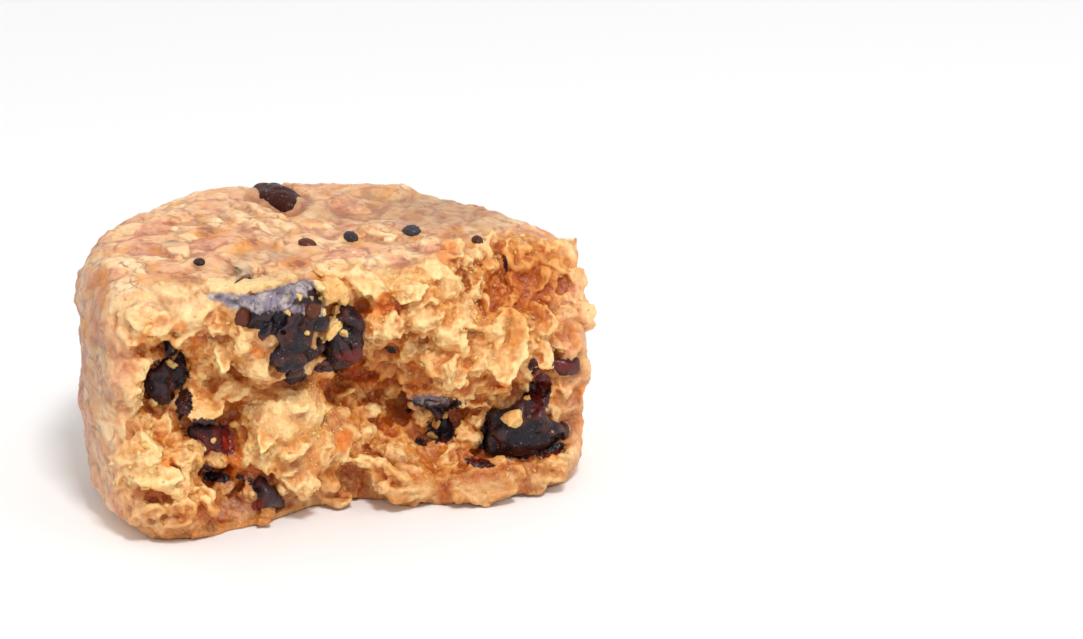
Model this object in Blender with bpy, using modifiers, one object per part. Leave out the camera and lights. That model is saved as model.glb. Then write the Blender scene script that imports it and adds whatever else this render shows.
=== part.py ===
"""Half of a thick round trail cookie, broken in two: oat dough, rolled oat flakes, seeds and dried fruit.

Metres, +Z up. The half lies on its flat base. X runs along the break, -Y looks out of the broken
face, and the origin is the middle of the base of the whole half's box.
"""

import math
import random

import bmesh
import bpy
from mathutils import Euler, Matrix, Vector, noise

MM = 0.001

# The whole cookie before it broke.
COOKIE_RADIUS = 25.5 * MM
COOKIE_HEIGHT = 25.0 * MM
TOP_EDGE_RADIUS = 6.0 * MM
BASE_EDGE_RADIUS = 3.8 * MM
TOP_EDGE_DROP = 3.8 * MM
BASE_EDGE_RISE = 4.2 * MM
SPARE_BELOW = 0.6 * MM  # dough below the table plane, trimmed off flat at the end
LOBES = ((3, 0.55 * MM, 95), (2, 0.40 * MM, 95))  # waves round the outline, height, first crest in degrees
TOP_FALL_X = 0.042  # the top leans down towards +X and +Y by these slopes
TOP_FALL_Y = 0.020
PUCK_STEPS = 60
CORNER_STEPS = 5  # steps round the top edge and round the base edge
SIDE_BULGE = 0.2 * MM  # the side is this much wider at half height
POLE_MERGE = 0.05 * MM

# The break: a plane this far in front of the cookie's middle, with lumps and hollows.
BREAK_Y = -7.5 * MM
BREAK_REACH = 15.0 * MM  # how far behind the break the dough is drawn along with a lump
# Middle along X, height above the base, half width, half height, and how far it stands out; all mm.
BREAK_FORMS = (
    (-17.5, 22.6, 6.0, 3.2, 3.4),  # lip of crust, left
    (-8.5, 23.6, 6.0, 3.6, 3.6),  # lip round the large fruit
    (5.0, 21.5, 5.0, 3.6, 3.2),  # lip of crust, right
    (-7.2, 9.0, 4.8, 5.6, 3.6),  # large smooth lump
    (-20.5, 6.0, 4.4, 5.0, 2.8),  # lower left corner
    (-23.0, 13.0, 3.0, 4.5, 1.6),  # left edge
    (13.2, 15.6, 4.6, 4.0, 3.0),  # pale mass, right
    (12.5, 0.8, 6.0, 2.6, 4.6),  # foot, right
    (4.5, 1.6, 2.8, 2.0, 2.2),  # foot, middle
    (-15.5, 0.6, 6.5, 3.2, 2.6),  # foot, left
    (21.0, 1.5, 3.5, 3.2, 2.2),  # foot, right corner
    (0.2, 13.0, 4.0, 2.6, -4.6),  # slanting hollow, upper end
    (4.6, 9.2, 3.6, 2.8, -4.0),  # slanting hollow, middle
    (9.4, 6.8, 3.4, 2.8, -3.2),  # slanting hollow, lower end
    (-18.6, 16.4, 2.8, 4.0, -3.2),  # pocket of the left fruit
    (-14.6, 8.2, 2.4, 5.0, -2.6),  # pocket of the lower left fruit
    (19.0, 23.6, 5.6, 4.6, -5.6),  # hollow, upper right
    (18.0, 6.2, 4.4, 3.4, -1.6),  # pocket of the right fruit
    (-1.0, 0.5, 2.8, 3.2, -1.6),  # notch in the foot
)

# Rough dough: size of the lumps and their height, and which part of the noise they are drawn from.
BREAK_ROUGHNESS = ((6.5 * MM, 1.3 * MM), (3.0 * MM, 0.6 * MM))
BREAK_NOISE_PLACE = 7.3
CRUST_ROUGHNESS = ((9.0 * MM, 0.45 * MM), (3.6 * MM, 0.22 * MM))
CRUST_NOISE_PLACE = (3.1, 5.7)
CRAG_SIZE = 4.2 * MM  # torn clumps of crumb on the broken face
CRAG_HEIGHT = 2.2 * MM
CRAG_MIDDLE = 0.42  # share of a clump's size where it neither stands out nor falls back
CRAG_REACH = 2.6 * MM  # clumps fade away this far behind the flat cut
CORE_VOXEL = 0.85 * MM
FUSED_VOXEL = 0.6 * MM
FACES_KEPT = 0.16

# Dried fruit that shows. Middle along X and Z in mm, how deep it lies behind the surface, half sizes,
# turn about X, Y and Z in degrees, and how finely it is divided.
FRUIT_IN_BREAK = {
    "fruit_top_edge": ((-9.1, 21.0), 0.9, (4.7, 3.7, 5.9), (0, -30, 0), 3),
    "fruit_top_edge_small": ((-1.5, 18.7), 0.6, (1.9, 2.0, 2.7), (0, -8, 0), 3),
    "fruit_left": ((-18.9, 16.3), 0.6, (2.2, 2.2, 3.7), (0, -6, 0), 3),
    "fruit_low_left": ((-14.8, 8.6), 0.9, (2.3, 2.1, 3.3), (0, -26, 0), 3),
    "fruit_low_left_small": ((-10.2, 3.3), 0.8, (2.5, 1.4, 0.9), (0, 36, 0), 2),
    "fruit_right": ((17.8, 5.6), 0.4, (4.9, 3.1, 3.3), (0, 6, 0), 3),
    "fruit_middle": ((9.3, 7.4), 0.7, (2.8, 2.1, 2.5), (0, 12, 0), 3),
    "fruit_right_small": ((22.0, 12.0), 0.5, (1.7, 1.3, 0.8), (0, 14, 0), 2),
}
# On the crust: place in mm, half sizes, turn.
FRUIT_IN_CRUST = {
    "fruit_top": ((-0.1, 17.3, 24.2), (4.0, 1.8, 1.6), (0, 0, -74), 3),
    "fruit_back": ((9.0, 23.3, 9.5), (2.7, 1.7, 2.2), (0, 12, -21), 2),
    "fruit_side": ((-17.6, 17.4, 14.5), (2.4, 1.6, 2.0), (0, 10, 45), 2),
}
FRUIT_GAP = 0.35 * MM  # dough stands this far clear of the fruit
FRUIT_STANDS_OUT = 0.35 * MM  # the most that fruit stands above the top
FRUIT_WRINKLE = 0.16  # height of the wrinkles as a share of the fruit's half size
FRUIT_FOLDS = ((1.9, 1.0), (3.9, 0.5))  # folds to a half size, and their share of the height
FRUIT_NOISE_STEP = 1.7  # sets the folds of differently named fruits apart

# Rolled oats: half length, half width and thickness of an average flake.
FLAKE_LENGTH = 3.0 * MM
FLAKE_WIDTH = 2.1 * MM
FLAKE_SIDES = 9
# Thickness, and the width of the outer face as a share of the inner one.
LOOSE_FLAKE = (0.75 * MM, 0.9)
PRESSED_FLAKE = (1.1 * MM, 0.6)  # pressed into the crust, with sloping edges
CRUST_FLAKES = 46
BREAK_FLAKES = 30
FLAKE_SPACING = 3.4 * MM
FLAKE_SEED = 41
# Where scattered flakes may lie: behind the broken face and above the base, or on that face.
CRUST_BEHIND_BREAK = 2.5 * MM
CRUST_ABOVE_BASE = 3.0 * MM
CRUST_FACES_DOWN = -0.6  # no flake where the crust faces further down than this
BREAK_DEPTH = 0.6 * MM
BREAK_LOW, BREAK_HIGH = 2.0 * MM, 22.0 * MM
BREAK_HALF_WIDTH = 21.0 * MM
CRUST_FLAKE_LEAN = 0.12
BREAK_FLAKE_LEAN = 0.9
PLACED_FLAKE_OUT = 0.4 * MM  # flakes that stand out in the broken face lie this far in front of it
# Those flakes: X, Z, half length, half width, tilt about X, Y, Z.
BREAK_FLAKES_PLACED = (
    (16.4, 16.8, 3.0, 2.4, 76, 0, 14),
    (-16.4, 13.4, 2.3, 1.5, 38, 12, -20),
    (-20.8, 6.8, 2.7, 1.7, 24, 4, 10),
    (-17.0, 3.6, 2.0, 1.5, 60, 10, -30),
    (4.4, 2.2, 3.4, 2.1, 52, 0, 4),
    (11.4, 1.9, 3.5, 2.4, 44, 4, -6),
    (17.2, 1.6, 2.8, 1.9, 50, -6, 12),
    (10.0, 13.4, 2.4, 1.6, 66, 20, 0),
    (-14.2, 19.6, 1.1, 2.3, 84, 0, 8),
    (2.5, 20.4, 2.6, 2.0, 70, 12, 0),
)
TOP_FLAKE_SINK = 0.1 * MM  # flakes that show on top lie this far down in it
TOP_FLAKE_FACING = Vector((0.03, -0.05, 1))
# Those flakes: X, Y, half length, half width, turn about Z.
TOP_FLAKES_PLACED = (
    (-4.5, 9.5, 4.2, 1.7, -36),
    (0.2, 7.6, 3.4, 1.8, -30),
    (-14.3, 5.4, 2.3, 2.0, 10),
    (12.6, -4.6, 2.5, 2.0, 25),
    (5.8, 4.4, 3.0, 1.9, 12),
    (8.4, -6.6, 2.6, 2.1, -12),
)
# Round seeds pressed into the top: X, Y.
TOP_SEEDS = ((-1.9, 1.1), (2.6, 2.0), (9.0, 1.2), (13.6, -3.0))
SEED_HALF_SIZES = (1.0 * MM, 0.8 * MM, 0.7 * MM)
SEED_SIDES, SEED_RINGS = 7, 4
SEED_STANDS_OUT = 0.1 * MM  # a seed's middle stands this far over the top

# Moves the middle of the half's box onto the origin.
SHIFT_TO_ORIGIN = Vector((0.0 * MM, -7.0 * MM, 0.0))

DOUGH_COLOUR = (0.62, 0.36, 0.16, 1)
FRUIT_COLOUR = (0.022, 0.012, 0.018, 1)


def clear_scene():
    for thing in list(bpy.data.objects):
        bpy.data.objects.remove(thing, do_unlink=True)


def new_collection(name):
    collection = bpy.data.collections.new(name)
    bpy.context.scene.collection.children.link(collection)
    return collection


def new_material(name, colour, roughness):
    material = bpy.data.materials.new(name)
    material.use_nodes = True
    shader = material.node_tree.nodes["Principled BSDF"]
    shader.inputs["Base Color"].default_value = colour
    shader.inputs["Roughness"].default_value = roughness
    return material


def new_object(name, mesh, collection):
    thing = bpy.data.objects.new(name, mesh)
    collection.objects.link(thing)
    return thing


def object_from(name, bm, collection):
    mesh = bpy.data.meshes.new(name)
    bm.to_mesh(mesh)
    bm.free()
    return new_object(name, mesh, collection)


def apply_modifiers(thing):
    bpy.context.view_layer.update()
    graph = bpy.context.evaluated_depsgraph_get()
    mesh = bpy.data.meshes.new_from_object(thing.evaluated_get(graph))
    thing.modifiers.clear()
    thing.data = mesh


def remove_collection(collection):
    for thing in list(collection.objects):
        bpy.data.objects.remove(thing, do_unlink=True)
    bpy.data.collections.remove(collection)


def outline_change(angle):
    """How far the cookie's outline stands outside a true circle at this angle."""
    return sum(height * math.cos(waves * (angle - math.radians(crest))) for waves, height, crest in LOBES)


def break_relief(x, z):
    """How far the broken face stands out in front of its plane."""
    relief = 0.0
    for along, high, half_width, half_height, out in BREAK_FORMS:
        across = (x - along * MM) / (half_width * MM)
        up = (z - high * MM) / (half_height * MM)
        relief += out * MM * math.exp(-(across * across + up * up))
    for size, height in BREAK_ROUGHNESS:
        relief += height * noise.noise(Vector((x / size, z / size, BREAK_NOISE_PLACE + size / MM)))
    return relief


def top_height(x, y):
    return COOKIE_HEIGHT - TOP_FALL_X * x - TOP_FALL_Y * y


def whole_puck(collection):
    """The unbroken cookie, turned from its side profile."""
    profile = bmesh.new()
    middle = COOKIE_HEIGHT * 0.5
    points = [(0.0, COOKIE_HEIGHT)]
    for step in range(CORNER_STEPS + 1):
        turn = math.pi / 2 * step / CORNER_STEPS
        points.append((
            COOKIE_RADIUS - TOP_EDGE_RADIUS * (1 - math.sin(turn)),
            COOKIE_HEIGHT - TOP_EDGE_DROP * (1 - math.cos(turn)),
        ))
    points.append((COOKIE_RADIUS + SIDE_BULGE, middle))
    for step in range(CORNER_STEPS + 1):
        turn = math.pi / 2 * step / CORNER_STEPS
        points.append((
            COOKIE_RADIUS - BASE_EDGE_RADIUS * (1 - math.cos(turn)),
            BASE_EDGE_RISE * (1 - math.sin(turn)),
        ))
    points.append((COOKIE_RADIUS - BASE_EDGE_RADIUS, -SPARE_BELOW))
    points.append((0.0, -SPARE_BELOW))
    corners = [profile.verts.new((radius, 0, height)) for radius, height in points]
    for first, second in zip(corners, corners[1:]):
        profile.edges.new((first, second))
    puck = object_from("cookie_dough", profile, collection)
    turned = puck.modifiers.new("turned", "SCREW")
    turned.steps = turned.render_steps = PUCK_STEPS
    turned.use_merge_vertices = True
    turned.merge_threshold = POLE_MERGE
    apply_modifiers(puck)
    return puck


def break_in_two(puck):
    """Cuts off the front piece and gives the rest the uneven outline of a hand-pressed cookie."""
    bm = bmesh.new()
    bm.from_mesh(puck.data)
    everything = bm.verts[:] + bm.edges[:] + bm.faces[:]
    cut = bmesh.ops.bisect_plane(
        bm, geom=everything, plane_co=(0, BREAK_Y, 0), plane_no=(0, -1, 0), clear_outer=True
    )["geom_cut"]
    rim = [part for part in cut if isinstance(part, bmesh.types.BMEdge)]
    bmesh.ops.contextual_create(bm, geom=rim)
    bmesh.ops.recalc_face_normals(bm, faces=bm.faces)
    for vert in bm.verts:
        radius = math.hypot(vert.co.x, vert.co.y)
        if radius > 0:
            share = outline_change(math.atan2(vert.co.y, vert.co.x)) / COOKIE_RADIUS
            vert.co.x *= 1 + share
            vert.co.y = max(BREAK_Y, vert.co.y * (1 + share)) if vert.co.y > BREAK_Y else BREAK_Y
        if vert.co.z > 0:
            vert.co.z *= top_height(vert.co.x, vert.co.y) / COOKIE_HEIGHT
    bm.to_mesh(puck.data)
    bm.free()


def even_mesh(puck, voxel):
    remesh = puck.modifiers.new("even", "REMESH")
    remesh.mode = "VOXEL"
    remesh.voxel_size = voxel
    apply_modifiers(puck)


def draw_along(point):
    """A point of the flat-cut half, moved with the lumps and hollows of the break."""
    behind = (point.y - BREAK_Y) / BREAK_REACH
    if behind >= 1:
        return point
    behind = max(0.0, behind)
    share = (1 - behind) ** 2 * (1 + 2 * behind)
    return Vector((point.x, point.y - share * break_relief(point.x, point.z), point.z))


def crag(point):
    """Height of the torn clumps at a point, highest at the middle of each clump."""
    nearest = noise.voronoi(point / CRAG_SIZE)[0][0]
    return CRAG_HEIGHT * (CRAG_MIDDLE - nearest)


def roughen(puck):
    bm = bmesh.new()
    bm.from_mesh(puck.data)
    bm.normal_update()
    near_cut = {}
    for vert in bm.verts:
        near_cut[vert] = min(1.0, max(0.0, 1 - (vert.co.y - BREAK_Y) / CRAG_REACH))
        for size, height in CRUST_ROUGHNESS:
            vert.co += vert.normal * height * noise.noise(vert.co / size + Vector((*CRUST_NOISE_PLACE, size / MM)))
        vert.co = draw_along(vert.co)
    bm.normal_update()
    for vert in bm.verts:
        vert.co += vert.normal * near_cut[vert] * crag(vert.co)
    bm.to_mesh(puck.data)
    bm.free()


def thin_out(puck):
    """Fewer faces, where the surface is nearly flat."""
    fewer = puck.modifiers.new("fewer", "DECIMATE")
    fewer.ratio = FACES_KEPT
    apply_modifiers(puck)


def fruit_places():
    """Name, middle, half sizes, turn and fineness of each fruit, in metres."""
    for name, ((x, z), depth, half_sizes, turn, fineness) in FRUIT_IN_BREAK.items():
        surface = BREAK_Y - break_relief(x * MM, z * MM)
        yield name, Vector((x * MM, surface + depth * MM, z * MM)), half_sizes, turn, fineness
    for name, (place, half_sizes, turn, fineness) in FRUIT_IN_CRUST.items():
        yield name, Vector(place) * MM, half_sizes, turn, fineness


def fruit_mesh(name, middle, half_sizes, turn, fineness, grown):
    """A shrivelled berry: a round form folded by noise, turned into place and pressed level with the top."""
    bm = bmesh.new()
    bmesh.ops.create_icosphere(bm, subdivisions=fineness, radius=1)
    offset = Vector((len(name) * FRUIT_NOISE_STEP, half_sizes[0], half_sizes[2]))
    for vert in bm.verts:
        way = vert.co.normalized()
        fold = sum(share * noise.noise(way * folds + offset) for folds, share in FRUIT_FOLDS)
        vert.co = way * (1 + FRUIT_WRINKLE * fold)
    bmesh.ops.scale(bm, vec=Vector(half_sizes) * MM, verts=bm.verts)
    bm.normal_update()
    if grown:
        for vert in bm.verts:
            vert.co += vert.normal * FRUIT_GAP
    turned = Euler([math.radians(angle) for angle in turn]).to_matrix().to_4x4()
    bm.transform(Matrix.Translation(middle) @ turned)
    if not grown:
        for vert in bm.verts:
            vert.co.z = min(vert.co.z, top_height(vert.co.x, vert.co.y) + FRUIT_STANDS_OUT)
    return bm


def near_fruit(point, room):
    """True where a flake of this half size would touch a fruit."""
    for _, middle, half_sizes, _, _ in fruit_places():
        if (point - middle).length < max(half_sizes) * MM + room:
            return True
    return False


def add_flake(middle, facing, spin, half_length, half_width, pressed, collection):
    bm = bmesh.new()
    depth, far_end = PRESSED_FLAKE if pressed else LOOSE_FLAKE
    bmesh.ops.create_cone(
        bm, cap_ends=True, segments=FLAKE_SIDES, radius1=1, radius2=far_end, depth=depth
    )
    bmesh.ops.scale(bm, vec=(half_length, half_width, 1), verts=bm.verts)
    placed = facing.to_track_quat("Z", "Y").to_matrix().to_4x4() @ Matrix.Rotation(spin, 4, "Z")
    bm.transform(Matrix.Translation(middle) @ placed)
    return object_from("flake", bm, collection)


def surface_points(puck, count, wanted, draw):
    """Spread points on the dough, seeded, no two closer than a flake's spacing."""
    mesh = puck.data
    mesh.calc_loop_triangles()
    faces = [tri for tri in mesh.loop_triangles if wanted(tri.center, tri.normal)]
    areas = [tri.area for tri in faces]
    chosen = []
    for tri in draw.choices(faces, areas, k=count * 12):
        if len(chosen) == count:
            break
        corners = [mesh.vertices[index].co for index in tri.vertices]
        first, second = sorted((draw.random(), draw.random()))
        point = corners[0] * first + corners[1] * (second - first) + corners[2] * (1 - second)
        if all((point - other).length > FLAKE_SPACING for other, _ in chosen):
            chosen.append((point, tri.normal.copy()))
    return chosen


def on_crust(centre, normal):
    ahead = centre.y - (BREAK_Y - break_relief(centre.x, centre.z))
    return ahead > CRUST_BEHIND_BREAK and centre.z > CRUST_ABOVE_BASE and normal.z > CRUST_FACES_DOWN


def on_break(centre, normal):
    ahead = centre.y - (BREAK_Y - break_relief(centre.x, centre.z))
    return ahead < BREAK_DEPTH and BREAK_LOW < centre.z < BREAK_HIGH and abs(centre.x) < BREAK_HALF_WIDTH


def add_flakes(puck, collection):
    draw = random.Random(FLAKE_SEED)
    for point, normal in surface_points(puck, CRUST_FLAKES, on_crust, draw):
        length = FLAKE_LENGTH * draw.uniform(0.8, 1.2)
        if near_fruit(point, length):
            continue
        lean = Vector([draw.uniform(-CRUST_FLAKE_LEAN, CRUST_FLAKE_LEAN) for _ in range(3)])
        middle = point + normal * draw.uniform(-0.24, -0.1) * MM
        width = FLAKE_WIDTH * draw.uniform(0.85, 1.2)
        facing = (normal + lean).normalized()
        add_flake(middle, facing, draw.uniform(0, math.pi), length, width, True, collection)
    for point, normal in surface_points(puck, BREAK_FLAKES, on_break, draw):
        length = FLAKE_LENGTH * draw.uniform(0.6, 1.0)
        if near_fruit(point, length):
            continue
        lean = Vector([draw.uniform(-BREAK_FLAKE_LEAN, BREAK_FLAKE_LEAN) for _ in range(3)])
        middle = point + normal * draw.uniform(-0.5, 0.1) * MM
        width = FLAKE_WIDTH * draw.uniform(0.6, 1.0)
        facing = (normal + lean).normalized()
        add_flake(middle, facing, draw.uniform(0, math.pi), length, width, False, collection)
    for x, z, length, width, tilt_x, tilt_y, tilt_z in BREAK_FLAKES_PLACED:
        surface = BREAK_Y - break_relief(x * MM, z * MM)
        turned = Euler((math.radians(tilt_x), math.radians(tilt_y), math.radians(tilt_z)))
        facing = turned.to_matrix() @ Vector((0, 0, 1))
        middle = Vector((x * MM, surface - PLACED_FLAKE_OUT, z * MM))
        add_flake(middle, facing, 0, length * MM, width * MM, False, collection)
    for x, y, length, width, turn in TOP_FLAKES_PLACED:
        middle = Vector((x * MM, y * MM, top_height(x * MM, y * MM) - TOP_FLAKE_SINK))
        add_flake(middle, TOP_FLAKE_FACING, math.radians(turn), length * MM, width * MM, True, collection)


def add_seeds(collection):
    for x, y in TOP_SEEDS:
        bm = bmesh.new()
        bmesh.ops.create_uvsphere(bm, u_segments=SEED_SIDES, v_segments=SEED_RINGS, radius=1)
        bmesh.ops.scale(bm, vec=SEED_HALF_SIZES, verts=bm.verts)
        middle = Vector((x * MM, y * MM, top_height(x * MM, y * MM) + SEED_STANDS_OUT))
        bm.transform(Matrix.Translation(middle) @ Matrix.Rotation(x, 4, "Z"))
        object_from("seed", bm, collection)


def join_all(dough, collection):
    union = dough.modifiers.new("fused", "BOOLEAN")
    union.operation = "UNION"
    union.operand_type = "COLLECTION"
    union.collection = collection
    union.solver = "EXACT"
    apply_modifiers(dough)
    remove_collection(collection)


def cut_pockets(dough, collection):
    """Takes the fruit's room, and its gap, out of the dough."""
    for place in fruit_places():
        object_from(place[0] + "_pocket", fruit_mesh(*place, grown=True), collection)
    pockets = dough.modifiers.new("pockets", "BOOLEAN")
    pockets.operation = "DIFFERENCE"
    pockets.operand_type = "COLLECTION"
    pockets.collection = collection
    pockets.solver = "EXACT"
    apply_modifiers(dough)
    remove_collection(collection)


def keep_largest_shell(bm):
    """Fills sealed hollows and drops loose scraps, so that one closed shell is left."""
    left = set(bm.verts)
    shells = []
    while left:
        shell = set()
        edge_of_search = [left.pop()]
        while edge_of_search:
            vert = edge_of_search.pop()
            shell.add(vert)
            for edge in vert.link_edges:
                other = edge.other_vert(vert)
                if other in left:
                    left.remove(other)
                    edge_of_search.append(other)
        shells.append(shell)
    shells.sort(key=len)
    for shell in shells[:-1]:
        bmesh.ops.delete(bm, geom=list(shell), context="VERTS")


def flatten_base(dough):
    """Trims the dough level with the table, which leaves the flat face it rests on."""
    bm = bmesh.new()
    bm.from_mesh(dough.data)
    bmesh.ops.remove_doubles(bm, verts=bm.verts, dist=0.002 * MM)
    cut = bmesh.ops.bisect_plane(
        bm, geom=bm.verts[:] + bm.edges[:] + bm.faces[:], plane_co=(0, 0, 0), plane_no=(0, 0, -1), clear_outer=True
    )["geom_cut"]
    rim = [part for part in cut if isinstance(part, bmesh.types.BMEdge)]
    bmesh.ops.holes_fill(bm, edges=rim)
    bmesh.ops.triangulate(bm, faces=bm.faces)
    keep_largest_shell(bm)
    bm.to_mesh(dough.data)
    bm.free()


def main():
    clear_scene()
    cookie = new_collection("trail_cookie_half")
    pieces = new_collection("pieces_to_fuse")
    pockets = new_collection("pockets")
    dough_look = new_material("baked_oat_dough", DOUGH_COLOUR, 0.75)
    fruit_look = new_material("dried_fruit", FRUIT_COLOUR, 0.35)

    dough = whole_puck(cookie)
    break_in_two(dough)
    even_mesh(dough, CORE_VOXEL)
    roughen(dough)
    add_flakes(dough, pieces)
    add_seeds(pieces)
    join_all(dough, pieces)
    even_mesh(dough, FUSED_VOXEL)
    thin_out(dough)
    cut_pockets(dough, pockets)
    flatten_base(dough)
    dough.data.transform(Matrix.Translation(SHIFT_TO_ORIGIN))
    dough.data.materials.clear()
    dough.data.materials.append(dough_look)

    for place in fruit_places():
        fruit = object_from(place[0], fruit_mesh(*place, grown=False), cookie)
        fruit.data.transform(Matrix.Translation(SHIFT_TO_ORIGIN))
        fruit.data.materials.append(fruit_look)
        fruit.data.shade_smooth()


main()
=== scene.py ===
# Half of a thick round trail cookie, broken open: oat dough, rolled oats, seeds and dried fruit.

import math
import random
from functools import partial

import bmesh
import bpy
import numpy as np
from mathutils import Euler, Matrix, Vector, noise
from mathutils.bvhtree import BVHTree


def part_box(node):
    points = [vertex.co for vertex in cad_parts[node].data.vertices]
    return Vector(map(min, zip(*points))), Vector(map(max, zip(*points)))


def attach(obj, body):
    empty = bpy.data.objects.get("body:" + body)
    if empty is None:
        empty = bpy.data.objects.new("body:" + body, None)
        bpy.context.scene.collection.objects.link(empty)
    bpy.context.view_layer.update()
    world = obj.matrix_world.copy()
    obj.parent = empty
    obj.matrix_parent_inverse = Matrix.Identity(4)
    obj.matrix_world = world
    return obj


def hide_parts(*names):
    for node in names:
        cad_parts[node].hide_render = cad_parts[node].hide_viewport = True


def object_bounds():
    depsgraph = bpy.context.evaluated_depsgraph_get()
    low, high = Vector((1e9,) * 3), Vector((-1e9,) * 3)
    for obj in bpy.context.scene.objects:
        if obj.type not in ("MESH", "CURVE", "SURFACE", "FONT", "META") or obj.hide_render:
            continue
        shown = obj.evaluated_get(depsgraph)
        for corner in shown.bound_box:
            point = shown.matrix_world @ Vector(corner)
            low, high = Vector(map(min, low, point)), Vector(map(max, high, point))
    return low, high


noiseSeed = 1795527242  # unset, the vector noise would follow the clock
noise.seed_set(noiseSeed)

mm = 0.001
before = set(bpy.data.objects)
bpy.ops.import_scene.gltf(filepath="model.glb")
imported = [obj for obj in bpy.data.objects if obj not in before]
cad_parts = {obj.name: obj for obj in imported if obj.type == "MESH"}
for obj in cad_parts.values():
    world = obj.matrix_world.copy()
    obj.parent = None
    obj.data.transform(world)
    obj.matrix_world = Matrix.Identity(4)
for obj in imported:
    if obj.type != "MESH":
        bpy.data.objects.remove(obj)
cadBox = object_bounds()
print("frame loaded")

cookie = {
    "centre": Vector((0, -7.0 * mm, 0)),  # middle of the whole round cookie, on the table
    "breakY": -7.5 * mm,  # the break lies this far in front of that middle
    "radius": 25.5 * mm,
    "height": 25.2 * mm,
    "edge": 5.0 * mm,  # radius of its rounded edges
    "fall": (0.042, 0.020),  # slope of its top along X and Y
}

# The camera that saw the cookie. Places of features below are columns and rows of its picture.
photo = {
    "width": 1083,
    "height": 639,
    "azimuth": -21.0,
    "elevation": 20.0,
    "distance": 400 * mm,
    "target": Vector((20.1 * mm, -6.0 * mm, 16.6 * mm)),  # from the cookie's middle
    "focalPixels": 4000,
    "sensor": 36.0,
}


def cameraFrame():
    turn = math.radians(photo["azimuth"])
    rise = math.radians(photo["elevation"])
    back = Vector((math.sin(turn) * math.cos(rise), -math.cos(turn) * math.cos(rise), math.sin(rise)))
    target = cookie["centre"] + photo["target"]
    right = (-back).cross(Vector((0, 0, 1))).normalized()
    up = right.cross(-back)
    return target + back * photo["distance"], right, up, back


camPlace, camRight, camUp, camBack = cameraFrame()


def pictured(points):
    # columns and rows at which points are seen
    away = points - np.array(camPlace)
    depth = -(away @ np.array(camBack))
    columns = photo["width"] / 2 + photo["focalPixels"] * (away @ np.array(camRight)) / depth
    rows = photo["height"] / 2 - photo["focalPixels"] * (away @ np.array(camUp)) / depth
    return columns, rows


def seenAt(column, row, tree):
    # the point and normal of the surface that is seen at a column and row
    across = (column - photo["width"] / 2) / photo["focalPixels"]
    down = (row - photo["height"] / 2) / photo["focalPixels"]
    direction = (-camBack + camRight * across - camUp * down).normalized()
    point, normal, _, _ = tree.ray_cast(camPlace, direction)
    if point is not None and normal.dot(direction) > 0:
        normal = -normal
    return point, normal


def newPiece(name, mesh):
    piece = bpy.data.objects.new(name, mesh)
    bpy.context.scene.collection.objects.link(piece)
    return piece


def pieceFromBmesh(name, bm):
    mesh = bpy.data.meshes.new(name)
    bm.to_mesh(mesh)
    bm.free()
    return newPiece(name, mesh)


def applyModifiers(piece):
    bpy.context.view_layer.update()
    graph = bpy.context.evaluated_depsgraph_get()
    mesh = bpy.data.meshes.new_from_object(piece.evaluated_get(graph))
    piece.modifiers.clear()
    piece.data = mesh


def evenOut(piece, voxel, smoothing=0):
    remesh = piece.modifiers.new("evenOut", "REMESH")
    remesh.mode = "VOXEL"
    remesh.voxel_size = voxel
    if smoothing:
        soft = piece.modifiers.new("soft", "SMOOTH")
        soft.factor = 0.5
        soft.iterations = smoothing
    applyModifiers(piece)


def thinOut(piece, mostTriangles):
    # fewer faces where the surface is nearly flat
    triangles = sum(len(face.vertices) - 2 for face in piece.data.polygons)
    if triangles > mostTriangles:
        fewer = piece.modifiers.new("fewer", "DECIMATE")
        fewer.ratio = mostTriangles / triangles
        applyModifiers(piece)


def copyOfNode(name, node):
    # a CAD node's own form, its loose triangles merged
    bm = bmesh.new()
    bm.from_mesh(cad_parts[node].data)
    bmesh.ops.remove_doubles(bm, verts=bm.verts, dist=0.004 * mm)
    for face in bm.faces:
        face.material_index = 0
    return pieceFromBmesh(name, bm)


def joinInto(piece, parts):
    bm = bmesh.new()
    for part in (piece, *parts):
        bm.from_mesh(part.data)
    for part in parts:
        bpy.data.objects.remove(part, do_unlink=True)
    bm.to_mesh(piece.data)
    bm.free()


def coordinates(mesh):
    flat = np.empty(len(mesh.vertices) * 3, np.float32)
    mesh.vertices.foreach_get("co", flat)
    return flat.reshape(-1, 3).astype(float)


def normals(mesh):
    flat = np.empty(len(mesh.vertices) * 3, np.float32)
    mesh.vertex_normals.foreach_get("vector", flat)
    return flat.reshape(-1, 3).astype(float)


def setCoordinates(mesh, points):
    mesh.vertices.foreach_set("co", np.asarray(points, np.float32).ravel())
    mesh.update()


def setAttribute(mesh, name, values):
    layer = mesh.attributes.new(name, "FLOAT", "POINT")
    layer.data.foreach_set("value", np.asarray(values, np.float32))


def setMaterial(piece, material):
    piece.data.materials.clear()
    piece.data.materials.append(material)


def treeOf(pieces):
    points, faces, start = [], [], 0
    for piece in pieces:
        mesh = piece.data
        points.extend(vert.co.copy() for vert in mesh.vertices)
        faces.extend([index + start for index in face.vertices] for face in mesh.polygons)
        start += len(mesh.vertices)
    return BVHTree.FromPolygons(points, faces)


def smoothStep(low, high, value):
    share = np.clip((value - low) / (high - low), 0, 1)
    return share * share * (3 - 2 * share)


def softNoise(points, size, shift=0.0):
    away = Vector((shift, shift * 0.7, shift * 1.3))
    return np.array([noise.noise(Vector(point) / size + away) for point in points])


def patchy(points, size, low, high, shift):
    # bits gather in patches and leave flakes bare between them
    return smoothStep(low, high, softNoise(points, size, shift))


def keepInside(piece, proud=0.0):
    # no point of the finished form stands outside the CAD model's box, or above it by more than proud
    low, high = np.array(cadBox[0]), np.array(cadBox[1]) + np.array((0, 0, proud))
    setCoordinates(piece.data, np.clip(coordinates(piece.data), low, high))


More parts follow.
